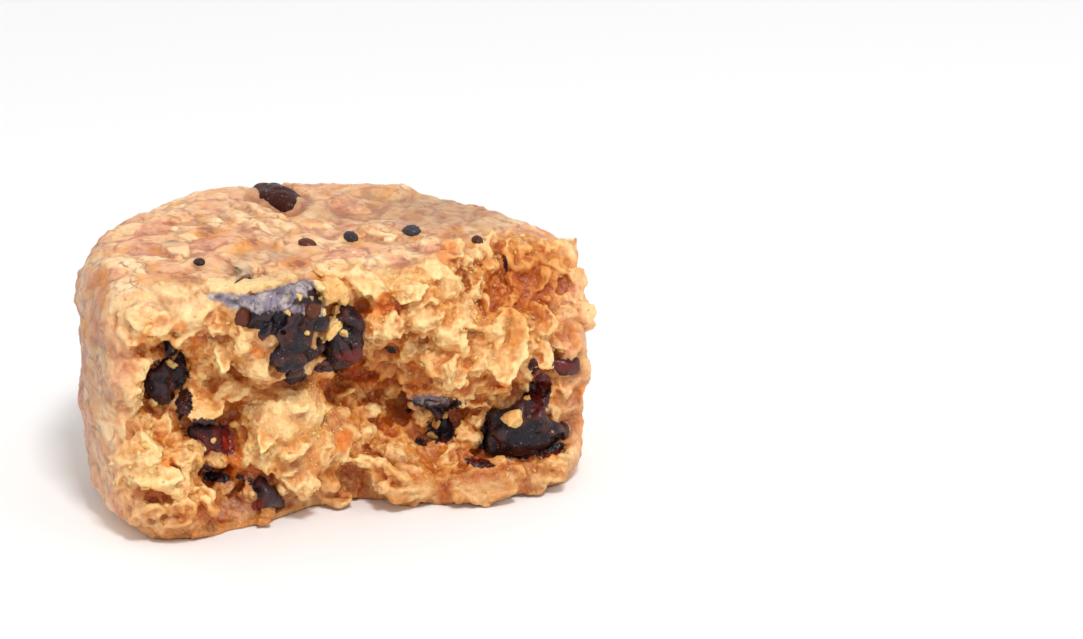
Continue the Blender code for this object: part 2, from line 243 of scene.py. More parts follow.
# The broken face, with the hollows and lumps that the dough solid has.
brokenFace = {
    "forms": (  # middle along X, height, half width, half height, how far it stands out; mm
        (-17.5, 22.6, 6.0, 3.2, 3.4),
        (-8.5, 23.6, 6.0, 3.6, 3.6),
        (5.0, 21.5, 5.0, 3.6, 3.2),
        (-7.2, 9.0, 4.8, 5.6, 3.6),
        (-20.5, 6.0, 4.4, 5.0, 2.8),
        (-23.0, 13.0, 3.0, 4.5, 1.6),
        (13.2, 15.6, 4.6, 4.0, 3.0),
        (12.5, 0.8, 6.0, 2.6, 4.6),
        (4.5, 1.6, 2.8, 2.0, 2.2),
        (-15.5, 0.6, 6.5, 3.2, 2.6),
        (21.0, 1.5, 3.5, 3.2, 2.2),
        (0.2, 13.0, 4.0, 2.6, -4.6),
        (4.6, 9.2, 3.6, 2.8, -4.0),
        (9.4, 6.8, 3.4, 2.8, -3.2),
        (-18.6, 16.4, 2.8, 4.0, -3.2),
        (-14.6, 8.2, 2.4, 5.0, -2.6),
        (19.0, 23.6, 5.6, 4.6, -5.6),
        (18.0, 6.2, 4.4, 3.4, -1.6),
        (-1.0, 0.5, 2.8, 3.2, -1.6),
    ),
    "crustStarts": 0.9 * mm,  # this far behind the face, the dough is crust
    "crustWander": 0.9 * mm,
    "crustBlend": 1.5 * mm,
    "crustThick": (1.7 * mm, 2.6 * mm),  # deeper than this under the outside, all is crumb
    "hollows": 7 * mm,  # and no hollow reaches further back than this
}


def breakRelief(x, z):
    relief = np.zeros_like(x)
    for along, high, halfWidth, halfHeight, out in brokenFace["forms"]:
        across = (x - along * mm) / (halfWidth * mm)
        rise = (z - high * mm) / (halfHeight * mm)
        relief += out * mm * np.exp(-(across * across + rise * rise))
    return relief


def behindBreak(points):
    fromMiddle = points - np.array(cookie["centre"])
    return fromMiddle[:, 1] - (cookie["breakY"] - breakRelief(fromMiddle[:, 0], fromMiddle[:, 2]))


def underOutside(points):
    # how deep points lie in the whole cookie: a low drum with rounded edges
    fromMiddle = points - np.array(cookie["centre"])
    slope = 1 - (fromMiddle[:, :2] @ np.array(cookie["fall"])) / cookie["height"]
    half = cookie["height"] / 2
    out = np.hypot(fromMiddle[:, 0], fromMiddle[:, 1]) - (cookie["radius"] - cookie["edge"])
    up = np.abs(fromMiddle[:, 2] / slope - half) - (half - cookie["edge"])
    corner = np.hypot(np.maximum(out, 0), np.maximum(up, 0))
    return cookie["edge"] - corner - np.minimum(np.maximum(out, up), 0)


def crustShare(points):
    # 0 on the torn crumb, 1 on the baked outside
    behind = behindBreak(points)
    start = brokenFace["crustStarts"] + softNoise(points, 1.6 * mm) * brokenFace["crustWander"]
    share = smoothStep(0, 1, (behind - start) / brokenFace["crustBlend"])
    inHollow = smoothStep(*brokenFace["crustThick"], underOutside(points)) * (behind < brokenFace["hollows"])
    return share * (1 - inHollow)


# Marks on the broken face: column, row, half width, half height in pixels, turn in degrees, strength.
marks = {
    "flesh": (  # torn dark fruit smeared over the dough
        (334, 338, 9, 12, 0, 1.0), (346, 338, 17, 22, 0, 1.0), (330, 366, 15, 7, -10, 1.0),
        (300, 374, 8, 8, 0, 0.9), (170, 374, 19, 17, 0, 0.9), (184, 404, 9, 16, 10, 1.0),
        (205, 430, 20, 14, 15, 0.9), (228, 442, 8, 14, 0, 1.0), (216, 477, 15, 5, 8, 1.1),
        (265, 493, 24, 6, 38, 1.0), (436, 402, 30, 7, 4, 0.9), (441, 432, 17, 13, 10, 0.8),
        (480, 463, 17, 5, 8, 0.9), (540, 392, 12, 20, 12, 1.0), (522, 445, 43, 14, 3, 1.0),
        (497, 428, 16, 18, 0, 0.9), (534, 366, 6, 9, 0, 0.9), (564, 366, 13, 7, 8, 0.9),
        (256, 506, 6, 5, 20, 1.0), (505, 264, 3, 11, -8, 0.75), (392, 349, 8, 5, 10, 0.8),
        (420, 441, 8, 5, 20, 0.8),
    ),
    "wine": (  # where that fruit shows dark red
        (230, 442, 8, 14, 0, 1.3), (212, 440, 20, 16, 0, 0.6), (256, 506, 8, 6, 20, 1.5),
        (446, 446, 16, 8, 10, 0.6), (540, 385, 14, 26, 8, 0.6), (564, 366, 16, 8, 0, 0.9),
        (352, 357, 15, 8, 0, 0.9), (328, 366, 16, 8, 0, 0.4), (475, 461, 12, 6, 0, 0.5),
        (548, 458, 16, 7, -14, 0.7),
    ),
    "amber": (  # painted shade, deep orange-brown, in the hollows and the gaps at the foot; partly browner dough
        (365, 370, 44, 16, 12, 1.0), (330, 384, 22, 16, 0, 0.8), (415, 385, 26, 20, 20, 0.9),
        (400, 424, 18, 20, -10, 0.8), (393, 350, 12, 7, 10, 1.0), (166, 350, 12, 7, 0, 0.9),
        (150, 494, 26, 7, 6, 0.8), (205, 515, 26, 10, 4, 0.9), (236, 468, 8, 18, 0, 0.5),
        (480, 455, 26, 8, 8, 0.8), (528, 284, 38, 44, 0, 1.1), (505, 262, 9, 20, -8, 0.9),
        (575, 430, 12, 50, 0, 0.35), (440, 430, 30, 26, 0, 0.6), (262, 478, 12, 10, 0, 0.5),
        (325, 470, 12, 12, 0, 0.45), (395, 470, 20, 10, 0, 0.6), (470, 472, 70, 8, -6, 1.0),
        (444, 490, 6, 14, 0, 1.2), (362, 492, 6, 12, 0, 1.1), (524, 486, 6, 9, -10, 1.1),
        (350, 474, 16, 8, 0, 0.5), (180, 512, 40, 5, 4, 0.7), (112, 505, 20, 14, 20, 0.4),
        (560, 468, 26, 6, -14, 0.5), (216, 430, 30, 40, 0, 0.45), (350, 425, 14, 24, 0, 0.5),
        (192, 370, 8, 16, 0, 0.5),
    ),
    "orange": (  # clear orange patches
        (387, 304, 13, 10, -20, 1.0), (182, 325, 7, 6, 0, 0.9), (195, 343, 8, 6, 0, 0.7),
        (258, 352, 8, 6, 20, 0.8), (344, 441, 8, 12, 10, 1.0), (234, 462, 8, 20, -8, 0.9),
        (250, 480, 12, 14, 0, 0.6), (238, 452, 7, 12, 0, 0.9), (362, 378, 20, 8, 20, 0.7),
        (548, 455, 10, 5, 0, 0.8), (440, 250, 26, 14, 0, 0.5), (372, 322, 8, 18, 0, 0.6),
        (546, 376, 20, 8, 10, 0.5), (170, 462, 8, 5, 0, 0.8), (145, 332, 10, 14, 0, 0.4),
        (500, 388, 14, 8, 10, 0.6),
    ),
    "pale": (  # bright cream crests
        (180, 300, 36, 18, -8, 0.6), (219, 360, 6, 18, 6, 1.0), (155, 408, 20, 20, 0, 0.8),
        (206, 409, 24, 10, 10, 0.9), (158, 474, 26, 12, 4, 1.0), (395, 395, 11, 9, 0, 1.0),
        (334, 326, 14, 9, 0, 1.0), (375, 262, 50, 18, -6, 0.3), (300, 430, 40, 34, 0, 0.15),
        (342, 290, 22, 10, 0, 0.8), (405, 300, 20, 14, 0, 0.6), (455, 350, 26, 18, 0, 0.3),
        (512, 416, 10, 14, 0, 1.0), (196, 478, 14, 12, 0, 0.3), (240, 388, 22, 20, 0, 0.2),
        (526, 344, 6, 26, 8, 0.8), (400, 489, 25, 7, 2, 0.45), (486, 490, 28, 7, -6, 0.45),
        (546, 477, 15, 6, -14, 0.4), (318, 500, 22, 6, 0, 0.3), (572, 420, 8, 26, 0, 0.35),
        (492, 350, 16, 26, 0, 0.3),
    ),
    "dust": (  # the blue-grey skin of the large fruit
        (220, 297, 14, 5, 6, 1.0), (246, 302, 26, 9, 8, 1.1), (280, 296, 26, 10, -16, 1.1),
        (303, 286, 13, 6, -14, 1.0), (292, 309, 22, 6, 0, 0.7), (320, 311, 10, 6, 0, 0.6),
        (428, 399, 26, 6, 4, 0.7),
    ),
    "toast": (  # orange-brown spots of the crust
        (208, 232, 14, 7, 0, 1.0), (250, 243, 12, 6, 0, 0.9), (186, 279, 17, 8, 10, 1.0),
        (232, 222, 10, 5, 0, 0.7), (160, 250, 14, 5, 10, 0.6), (412, 214, 14, 6, 4, 0.8),
        (345, 225, 60, 4, 6, 0.5), (300, 262, 30, 8, -8, 0.7), (455, 240, 16, 14, 0, 0.9),
        (101, 290, 8, 22, 8, 0.7), (110, 420, 20, 5, 8, 0.6), (480, 205, 16, 6, 8, 0.5),
        (582, 400, 14, 80, 0, 0.6),
    ),
    "cover": (  # dough lies over the fruit here
        (235, 345, 17, 26, -10, 1.0), (256, 373, 22, 12, 24, 1.0), (318, 376, 12, 14, 0, 0.8),
        (240, 322, 8, 12, 0, 0.8), (494, 390, 22, 14, -10, 1.0), (470, 430, 14, 26, 0, 0.9),
        (415, 425, 14, 14, 0, 0.9), (152, 350, 12, 10, 0, 0.6), (222, 281, 32, 11, 4, 1.0),
        (258, 281, 26, 9, -6, 1.0), (298, 270, 30, 9, -12, 1.0), (338, 288, 17, 13, 0, 1.2),
        (348, 374, 16, 10, 0, 1.0), (190, 454, 9, 10, 0, 0.9), (238, 424, 7, 8, 0, 0.8),
        (562, 402, 14, 16, 0, 1.0), (285, 487, 11, 8, 38, 1.1), (248, 496, 9, 8, 38, 1.1),
        (565, 382, 16, 5, 8, 0.9), (236, 326, 6, 8, 0, 0.6), (206, 409, 21, 12, 10, 1.1),
        (270, 512, 12, 6, 30, 1.0), (220, 463, 18, 5, 10, 1.0), (587, 366, 6, 12, 0, 0.9),
        (548, 380, 12, 5, 0, 0.9), (437, 396, 24, 4, 4, 0.8), (462, 404, 9, 7, 0, 0.9),
        (410, 402, 6, 6, 0, 0.8),
    ),
    "baked": (  # crumb that has browned with the crust
        (158, 290, 64, 32, -6, 0.9), (106, 400, 24, 95, 6, 1.0), (372, 258, 76, 16, -6, 0.7),
        (584, 400, 16, 95, 0, 0.9), (120, 510, 30, 18, 16, 0.7), (580, 325, 18, 50, 0, 0.9),
    ),
    "even": (  # crumb that is pressed smooth
        (160, 296, 60, 34, -6, 1.0), (110, 400, 26, 90, 6, 1.0), (372, 268, 70, 22, -6, 0.8),
        (296, 432, 56, 50, 0, 0.9), (150, 440, 30, 30, 0, 0.4), (578, 420, 16, 70, 0, 1.0),
        (582, 340, 18, 60, 0, 1.0), (480, 488, 110, 16, -8, 0.8), (120, 500, 30, 24, 10, 0.6),
    ),
    "shade": (  # painted grey-brown shade on the left wall and the far top, and a grey smudge on the wall
        (430, 210, 80, 18, 6, 0.8), (88, 340, 20, 90, 0, 0.7), (92, 450, 14, 50, -10, 0.5),
        (118, 396, 18, 10, 0, 0.9), (335, 214, 30, 8, 14, 0.7), (95, 340, 10, 20, 0, 0.5),
        (380, 222, 30, 6, 4, 0.5), (100, 460, 14, 14, 0, 0.4), (262, 258, 40, 6, -4, 0.5),
    ),
}


def markShare(points, name):
    columns, rows = pictured(points)
    share = np.zeros(len(points))
    for column, row, halfWidth, halfHeight, turn, strength in marks[name]:
        cosine, sine = math.cos(math.radians(turn)), math.sin(math.radians(turn))
        across, down = columns - column, rows - row
        along = (across * cosine + down * sine) / halfWidth
        aside = (down * cosine - across * sine) / halfHeight
        share = np.maximum(share, strength * np.exp(-0.7 * (along * along + aside * aside) ** 1.5))
    front = 1 - smoothStep(4 * mm, 7 * mm, behindBreak(points)) if name not in ("toast", "shade") else 1
    return share * front


def asArrays(bm, rims=None):
    # points, faces, and how near each point is to the shape's rim
    bmesh.ops.triangulate(bm, faces=bm.faces)
    bm.verts.index_update()
    points = np.array([vert.co for vert in bm.verts])
    faces = np.array([[vert.index for vert in face.verts] for face in bm.faces])
    bm.free()
    return points, faces, np.full(len(points), 0.5) if rims is None else np.array(rims)


def joinedMesh(name, shapes, places):
    # places are rows of shape number, 4 x 4 matrix and tint
    points, faces, tints, rims, start = [], [], [], [], 0
    for number, matrix, tint in places:
        shapePoints, shapeFaces, shapeRims = shapes[number]
        turn = np.array(matrix)
        points.append(shapePoints @ turn[:3, :3].T + turn[:3, 3])
        faces.append(shapeFaces + start)
        tints.append(np.full(len(shapePoints), tint))
        rims.append(shapeRims)
        start += len(shapePoints)
    mesh = bpy.data.meshes.new(name)
    mesh.from_pydata(np.concatenate(points).tolist(), [], np.concatenate(faces).tolist())
    setAttribute(mesh, "tint", np.concatenate(tints))
    setAttribute(mesh, "rim", np.concatenate(rims))
    mesh.shade_smooth()
    return newPiece(name, mesh)


flake = {
    "shapes": 12,
    "rimPower": 0.5,  # under 1 gives a blunt rim
    "ragged": 0.14,
    "split": 0.22,
    "broken": (0.35, 0.8),  # a broken flake ends this far from its middle
    "crease": 0.35,  # depth of the groove along the middle, in half thicknesses
    "creaseWidth": 0.14,
    "curl": 0.9,
    "ripple": 0.6,
}


def flakeShape(number, subdivisions):
    # a rolled oat: flat oval, blunt rim, groove along the middle, edge split in one place
    bm = bmesh.new()
    bmesh.ops.create_icosphere(bm, subdivisions=subdivisions, radius=1)
    draw = random.Random(900 + number)
    curlX = draw.uniform(-1, 1) * flake["curl"]
    curlY = draw.uniform(-1, 1) * flake["curl"]
    split = draw.uniform(0, 2 * math.pi)
    end = draw.uniform(0, 2 * math.pi)
    across = Vector((math.cos(end), math.sin(end), 0))
    reach = draw.uniform(*flake["broken"]) if number % 3 else 2
    rims = []
    for vert in bm.verts:
        x, y, z = vert.co
        rims.append(math.hypot(x, y) ** 2)
        angle = math.atan2(y, x)
        outward = Vector((math.cos(angle), math.sin(angle), 0))
        edge = 1 + flake["ragged"] * noise.noise(outward * 1.4 + Vector((0, 0, number * 3.7)))
        edge += 0.6 * flake["ragged"] * noise.noise(outward * 5.0 + Vector((0, 0, number * 1.9)))
        edge -= flake["split"] * math.exp(-((math.remainder(angle - split, 2 * math.pi)) / 0.12) ** 2)
        flat = math.copysign(abs(z) ** flake["rimPower"], z)
        out = min(1, math.hypot(x, y))
        groove = flake["crease"] * math.exp(-(y / flake["creaseWidth"]) ** 2) * (1 - out ** 3)
        lift = curlX * x * x + curlY * y * y
        lift += flake["ripple"] * noise.noise(Vector((x * 2.6, y * 2.6, number * 2.3)))
        vert.co = Vector((x * edge, y * edge, flat + lift - (groove if z > 0 else -0.3 * groove)))
        past = vert.co.dot(across) - reach - 0.14 * noise.noise(vert.co * 3.5)
        if past > 0:
            vert.co -= across * past * 0.92
            rims[-1] = 1
    return asArrays(bm, rims)


crumb = {"shapes": 14, "cuts": 11, "reach": (0.50, 0.92), "rough": (0.36, 0.26), "looseRough": (0.22, 0.1)}


def crumbShape(number, subdivisions, rough=crumb["rough"]):
    # a torn bit of dough: a ball with flat cuts all round
    draw = random.Random(300 + number)
    cuts = [(anyWay(draw), draw.uniform(*crumb["reach"])) for _ in range(crumb["cuts"])]
    bm = bmesh.new()
    bmesh.ops.create_icosphere(bm, subdivisions=subdivisions, radius=1)
    coarse, fine = rough
    for vert in bm.verts:
        facing = [(vert.co.dot(way), far) for way, far in cuts]
        vert.co *= min([1.1] + [far / share for share, far in facing if share > 0.3])
        vert.co *= 1 + coarse * noise.noise(vert.co * 2.3 + Vector((0, 0, number * 5.1)))
        vert.co *= 1 + fine * noise.noise(vert.co * 5.5 + Vector((number * 2.7, 0, 0)))
    return asArrays(bm)


def solidTriangles(longest):
    # the dough solid's own triangles, cut in four until no side is longer
    solid = copyOfNode("solidDough", "cookie_dough")
    mesh = solid.data
    mesh.calc_loop_triangles()
    corners = np.empty(len(mesh.loop_triangles) * 3, np.int32)
    mesh.loop_triangles.foreach_get("vertices", corners)
    corners = coordinates(mesh)[corners.reshape(-1, 3)]
    bpy.data.objects.remove(solid)
    while True:
        large = np.linalg.norm(corners - np.roll(corners, 1, axis=1), axis=2).max(axis=1) > longest
        if not large.any():
            break
        big = corners[large]
        half = (big + np.roll(big, -1, axis=1)) / 2
        tips = [
            np.stack((big[:, corner], half[:, corner], half[:, corner - 1]), axis=1) for corner in range(3)
        ]
        corners = np.concatenate((corners[~large], *tips, half))
    return corners[fromFruit(corners.mean(axis=1)) > 0.15 * mm]


def spreadPoints(tree, count, spacing, wanted, drawSeed):
    # seeded points, no two closer than the spacing: chosen on the solid, then moved to the mesh
    corners = doughTriangles
    cross = np.cross(corners[:, 1] - corners[:, 0], corners[:, 2] - corners[:, 0])
    area = np.linalg.norm(cross, axis=1)
    facing = cross / np.maximum(area, 1e-15)[:, None]
    weight = area * wanted(corners.mean(axis=1), facing)
    draw = np.random.default_rng(drawSeed)
    picked = draw.choice(len(weight), size=count * (8 if spacing else 1), p=weight / weight.sum())
    along = np.sqrt(draw.random(len(picked)))
    side = draw.random(len(picked))
    spots = (
        corners[picked, 0] * (1 - along)[:, None]
        + corners[picked, 1] * (along * (1 - side))[:, None]
        + corners[picked, 2] * (along * side)[:, None]
    )
    if not spacing:
        return onMesh(tree, spots)
    kept, taken = [], {}
    for index, spot in enumerate(spots):
        cell = tuple(np.floor(spot / spacing).astype(int))
        near = [
            other
            for x in (-1, 0, 1) for y in (-1, 0, 1) for z in (-1, 0, 1)
            for other in taken.get((cell[0] + x, cell[1] + y, cell[2] + z), ())
        ]
        if all(np.linalg.norm(spot - spots[other]) > spacing for other in near):
            taken.setdefault(cell, []).append(index)
            kept.append(index)
        if len(kept) == count:
            break
    return onMesh(tree, spots[kept])


def onMesh(tree, spots):
    found = [tree.find_nearest(Vector(spot))[:2] for spot in spots]
    return np.array([spot for spot, _ in found]), np.array([normal for _, normal in found])


def placed(point, facing, spin, sizes):
    turn = Vector(facing).to_track_quat("Z", "Y").to_matrix().to_4x4()
    size = Matrix.Diagonal((*sizes, 1))
    return Matrix.Translation(Vector(point)) @ turn @ Matrix.Rotation(spin, 4, "Z") @ size


def anyWay(draw):
    return Vector([draw.gauss(0, 1) for _ in range(3)]).normalized()


def fruitRoom(node):
    low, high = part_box(node)
    return np.array((low + high) / 2), np.array((high - low) / 2)


fruitNodes = sorted(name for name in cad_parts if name.startswith("fruit_"))
fruitRooms = {name: fruitRoom(name) for name in fruitNodes}
inCrust = ("fruit_top", "fruit_back", "fruit_side")


def fromFruit(points):
    # distance to the nearest fruit, negative inside one
    nearest = np.full(len(points), 9.0)
    for middle, half in fruitRooms.values():
        away = np.linalg.norm((points - middle) / half, axis=1)
        nearest = np.minimum(nearest, (away - 1) * half.min())
    return nearest


def pocketDepth(points):
    # how deep the dough dips round fruit, less round a thin one
    depth = np.zeros(len(points))
    for node, (middle, half) in fruitRooms.items():
        away = (np.linalg.norm((points - middle) / half, axis=1) - 1) * half.min()
        share = 0.5 if node in inCrust else min(1, half.min() / (1.9 * mm)) ** 0.7
        far = (1.1 if node in inCrust else 1.5) * mm
        depth = np.maximum(depth, share * (1 - smoothStep(0.6 * mm, far, away)))
    return depth


def offFruit(matrix, room):
    # whether a flat or round shape, placed by a matrix, keeps clear of all fruit
    turns = [math.radians(30 * step) for step in range(12)]
    rim = [Vector((math.cos(turn), math.sin(turn), 0)) for turn in turns]
    spots = np.array([matrix @ spot for spot in (*rim, Vector((0, 0, 0)))])
    return fromFruit(spots).min() > room


dough = {
    "firstVoxel": 0.42 * mm,
    "firstSmoothing": 4,
    "pocketFill": 0.6 * mm,  # fruit grown by this closes its own pocket
    "pocketDip": 1.2 * mm,  # and the dough then lies this far under the fruit's face
    "chunks": ((3.6 * mm, 0.55 * mm, 0.20), (1.8 * mm, 0.34 * mm, 0.26)),  # size, step, slope
    "fusedVoxel": 0.2 * mm,
    "mostTriangles": 197000,
    "grainSizes": (  # size, height on crust in mm, height on crumb in mm
        (2.6 * mm, 0.20, 0.10), (1.1 * mm, 0.12, 0.14), (0.45 * mm, 0.03, 0.12),
    ),
    "pearls": (0.52 * mm, 0.09 * mm),  # granular crumb: size, height
}


# Flakes pressed into the crust; lengths and thicknesses are half ones, in mm.
crustFlakes = {
    "count": 330,
    "spacing": 2.1 * mm,
    "behindBreak": 1.2 * mm,
    "offFruit": 0.9 * mm,
    "lowest": 3 * mm,
    "edgeAbove": 17 * mm,  # from here up, those on the rounded edge are short
    "edgeFacing": (0.15, 0.93),
    "most": 3.6,
    "mostOnEdge": 1.5,
    "wide": (0.45, 0.8),
    "thick": (0.30, 0.45),
    "shown": (0.0, 0.15),
}
# Flakes and lumps of the broken face.
breakFlakes = {
    "count": 56,
    "spacing": 2.1 * mm,
    "long": (1.4, 2.9),
    "wide": (0.5, 0.85),
    "thick": (0.7, 1.05),
    "sunk": (0.2, 0.7),
    "lean": 0.4,
}
breakLumps = {
    "count": 420,
    "spacing": 1.0 * mm,
    "most": 2.2,
    "uneven": (0.6, 1.2),
    "sunk": (0.45, 0.85),  # in half sizes
    "overFruit": 0.7 * mm,
}
thinned = 0.7  # a flake's thickness off its middle


def torn(points):
    return 1 - crustShare(points)


def chunked(piece):
    # the torn dough parts in blocks, each with its own level and slope
    mesh = piece.data
    points, facing = coordinates(mesh), normals(mesh)
    share = torn(points) * (1 - 0.85 * np.clip(markShare(points, "even"), 0, 1))
    moved = points.copy()
    for index in np.nonzero(share > 0.02)[0]:
        height = 0
        for size, step, slope in dough["chunks"]:
            at = Vector(points[index]) / size
            at += noise.noise_vector(at * 1.7) * 0.22
            block = noise.voronoi(at)[1][0]
            lean = noise.noise_vector(block * 3.1 + Vector((9, 4, 2)))
            level = noise.noise(block * 5.3 + Vector((3, 7, 1)))
            height += step * 1.6 * level + slope * 2 * size * lean.dot(at - block)
        moved[index] += facing[index] * height * share[index]
    low = points[:, 2] < 0.4 * mm
    moved[low] = points[low]
    setCoordinates(mesh, moved)


doughTriangles = solidTriangles(0.6 * mm)


def crustPlaces(tree):
    def wanted(middles, facing):
        crusty = behindBreak(middles) > crustFlakes["behindBreak"]
        clear = fromFruit(middles) > crustFlakes["offFruit"]
        return crusty * clear * (middles[:, 2] > crustFlakes["lowest"]) * (facing[:, 2] > -0.8)

    low, high = crustFlakes["edgeFacing"]
    spots, facing = spreadPoints(tree, crustFlakes["count"], crustFlakes["spacing"], wanted, 11)
    draw = random.Random(12)
    places = []
    for spot, normal in zip(spots, facing):
        onEdge = spot[2] > crustFlakes["edgeAbove"] and low < normal[2] < high
        most = crustFlakes["mostOnEdge"] if onEdge else crustFlakes["most"]
        long = min(most, draw.lognormvariate(0.62, 0.40)) * mm
        wide = long * draw.uniform(*crustFlakes["wide"])
        thick = draw.uniform(*crustFlakes["thick"]) * mm
        lean = Vector(normal) + anyWay(draw) * 0.06
        sunk = Vector(spot) - Vector(normal) * (thick - draw.uniform(*crustFlakes["shown"]) * mm)
        matrix = placed(sunk, lean, draw.gauss(0.5, 0.9), (long, wide, thick * thinned))
        row = (draw.randrange(flake["shapes"]), matrix, draw.random())
        if offFruit(matrix, 0.1 * mm):
            places.append(row)
    return places


def breakPlaces(tree):
    def wanted(middles, facing):
        onFace = (behindBreak(middles) < 1.0 * mm) * (middles[:, 2] > 2.0 * mm)
        rough = 1 - 0.9 * np.clip(markShare(middles, "even"), 0, 1)
        return onFace * (fromFruit(middles) > 0.1 * mm) * rough

    spots, facing = spreadPoints(tree, breakFlakes["count"], breakFlakes["spacing"], wanted, 21)
    draw = random.Random(22)
    flakes, lumps = [], []
    for spot, normal in zip(spots, facing):
        long = draw.uniform(*breakFlakes["long"]) * mm
        wide = long * draw.uniform(*breakFlakes["wide"])
        thick = draw.uniform(*breakFlakes["thick"]) * mm
        lean = Vector(normal) + anyWay(draw) * breakFlakes["lean"]
        sunk = Vector(spot) - Vector(normal) * draw.uniform(*breakFlakes["sunk"]) * mm
        matrix = placed(sunk, lean, draw.uniform(0, 3), (long, wide, thick * thinned))
        row = (draw.randrange(flake["shapes"]), matrix, draw.random())
        if offFruit(matrix, 0):
            flakes.append(row)
    spots, facing = spreadPoints(tree, breakLumps["count"], breakLumps["spacing"], wanted, 23)
    for spot, normal in zip(spots, facing):
        half = min(breakLumps["most"], draw.lognormvariate(-0.15, 0.5)) * mm
        size = [half * draw.uniform(*breakLumps["uneven"]) for _ in range(3)]
        sunk = Vector(spot) - Vector(normal) * half * draw.uniform(*breakLumps["sunk"])
        matrix = placed(sunk, anyWay(draw), 0, size)
        row = (draw.randrange(crumb["shapes"]), matrix, draw.random())
        if offFruit(matrix, -breakLumps["overFruit"]):
            lumps.append(row)
    return flakes, lumps


# Flakes pressed into the top: column and row of both ends, half width in mm, tint.
topFlakes = (
    (229, 211, 284, 249, 1.1, 0.8), (246, 200, 303, 236, 1.5, 0.9), (173, 242, 183, 259, 1.2, 0.9),
    (193, 254, 242, 262, 0.9, 0.7), (234, 262, 250, 275, 0.9, 1.0), (202, 282, 228, 290, 1.2, 0.9),
    (104, 262, 142, 274, 1.6, 1.0), (202, 218, 232, 230, 1.1, 0.8), (362, 229, 400, 237, 1.4, 0.8),
    (441, 236, 470, 250, 1.9, 0.3), (414, 240, 440, 250, 1.4, 0.8), (347, 254, 374, 266, 1.3, 0.9),
    (318, 272, 344, 262, 1.2, 0.8), (150, 286, 190, 296, 1.3, 0.7),
    (330, 204, 372, 210, 1.6, 0.3), (440, 208, 470, 222, 1.5, 0.5),
    (236, 274, 262, 270, 1.4, 0.7), (150, 226, 186, 214, 1.5, 0.4),
)

# Flakes grown into the broken face: column, row, half length, half width, roll, pitch, yaw, out, tint.
fusedFlakes = (
    (206, 410, 2.1, 1.4, 10, 40, 8, 1.3, 1.0), (158, 478, 2.6, 1.3, 6, 46, -6, 0.4, 1.0),
    (221, 354, 0.8, 2.0, 6, 14, 24, 0.5, 1.0), (257, 352, 1.0, 0.6, 24, 20, 0, 0.3, 0.0),
    (505, 346, 3.9, 2.5, 82, 6, -16, 0.15, 0.7), (202, 497, 1.5, 1.2, 20, 30, 20, 0.1, 0.5),
    (400, 486, 2.8, 1.5, 6, 56, 0, -0.7, 0.3), (487, 487, 3.2, 1.9, -6, 52, 4, -0.2, 0.4),
    (548, 474, 2.2, 1.4, -18, 54, 8, 0.0, 0.3), (132, 452, 2.0, 1.3, 20, 30, -18, 0.0, 0.7),
    (478, 304, 1.7, 1.4, -20, 20, -30, 0.1, 0.6), (452, 322, 2.0, 1.0, 50, 30, 20, 0.0, 0.7),
    (346, 442, 0.9, 1.5, -12, 20, 20, 0.0, 0.1), (372, 378, 1.7, 1.0, 30, 40, 10, 0.0, 0.2),
    (340, 392, 1.8, 0.9, 16, 50, -10, 0.0, 0.2), (538, 318, 2.2, 1.7, -30, 20, -30, -0.1, 0.4),
    (266, 438, 2.0, 0.9, 60, 30, 20, 0.0, 0.6), (290, 400, 2.2, 1.2, -24, 30, 0, -0.1, 0.8),
    (572, 424, 1.1, 2.6, 4, 10, -30, -0.2, 0.3), (516, 262, 1.1, 1.5, 30, 20, -40, 0.2, 0.5),
    (150, 320, 2.4, 1.6, -20, 20, 10, -0.1, 0.8), (196, 308, 2.0, 1.4, 30, 20, 0, -0.1, 0.6),
    (362, 282, 2.2, 1.5, -10, 26, 0, -0.1, 0.9), (412, 290, 2.0, 1.5, 30, 26, -10, -0.1, 0.8),
    (440, 360, 2.0, 1.4, 70, 10, 10, 0.0, 0.9), (238, 388, 1.8, 1.2, 40, 20, -10, 0.0, 0.7),
    (540, 280, 1.7, 1.2, 60, 20, -40, 0.1, 0.3), (498, 290, 1.6, 1.1, -50, 20, -20, 0.1, 0.6),
    (432, 470, 2.4, 1.5, -14, 50, 6, 0.0, 0.5), (330, 500, 2.2, 1.4, 4, 50, 0, 0.0, 0.4),
    (226, 484, 1.3, 1.0, 50, 20, 10, 0.1, 0.1), (240, 504, 1.6, 1.0, -30, 30, 10, 0.1, 0.2),
    (176, 520, 2.0, 1.2, 8, 40, -10, 0.0, 0.4), (570, 342, 1.5, 2.2, -20, 10, -40, 0.0, 0.2),
)


def facingCamera(point, roll, pitch, yaw, sizes):
    looking = Matrix((camRight, camUp, camBack)).transposed()
    tilt = Euler((math.radians(-pitch), math.radians(yaw), 0)).to_matrix()
    turn = looking @ tilt @ Matrix.Rotation(math.radians(roll), 3, "Z")
    return Matrix.Translation(point) @ turn.to_4x4() @ Matrix.Diagonal((*sizes, 1))


def topFlakePlaces(tree):
    places = []
    for number, (column, row, endColumn, endRow, wide, tint) in enumerate(topFlakes):
        start, normal = seenAt(column, row, tree)
        end, endNormal = seenAt(endColumn, endRow, tree)
        if start is None or end is None:
            continue
        up = (normal + endNormal + Vector((0, 0, 1))).normalized()
        along = (end - start).normalized()
        side = up.cross(along).normalized()
        turn = Matrix((along, side, along.cross(side))).transposed().to_4x4()
        size = Matrix.Diagonal(((end - start).length / 2, wide * mm, 0.36 * mm, 1))
        middle = (start + end) / 2 + up * 0.02 * mm
        places.append((number % flake["shapes"], Matrix.Translation(middle) @ turn @ size, tint))
    return places


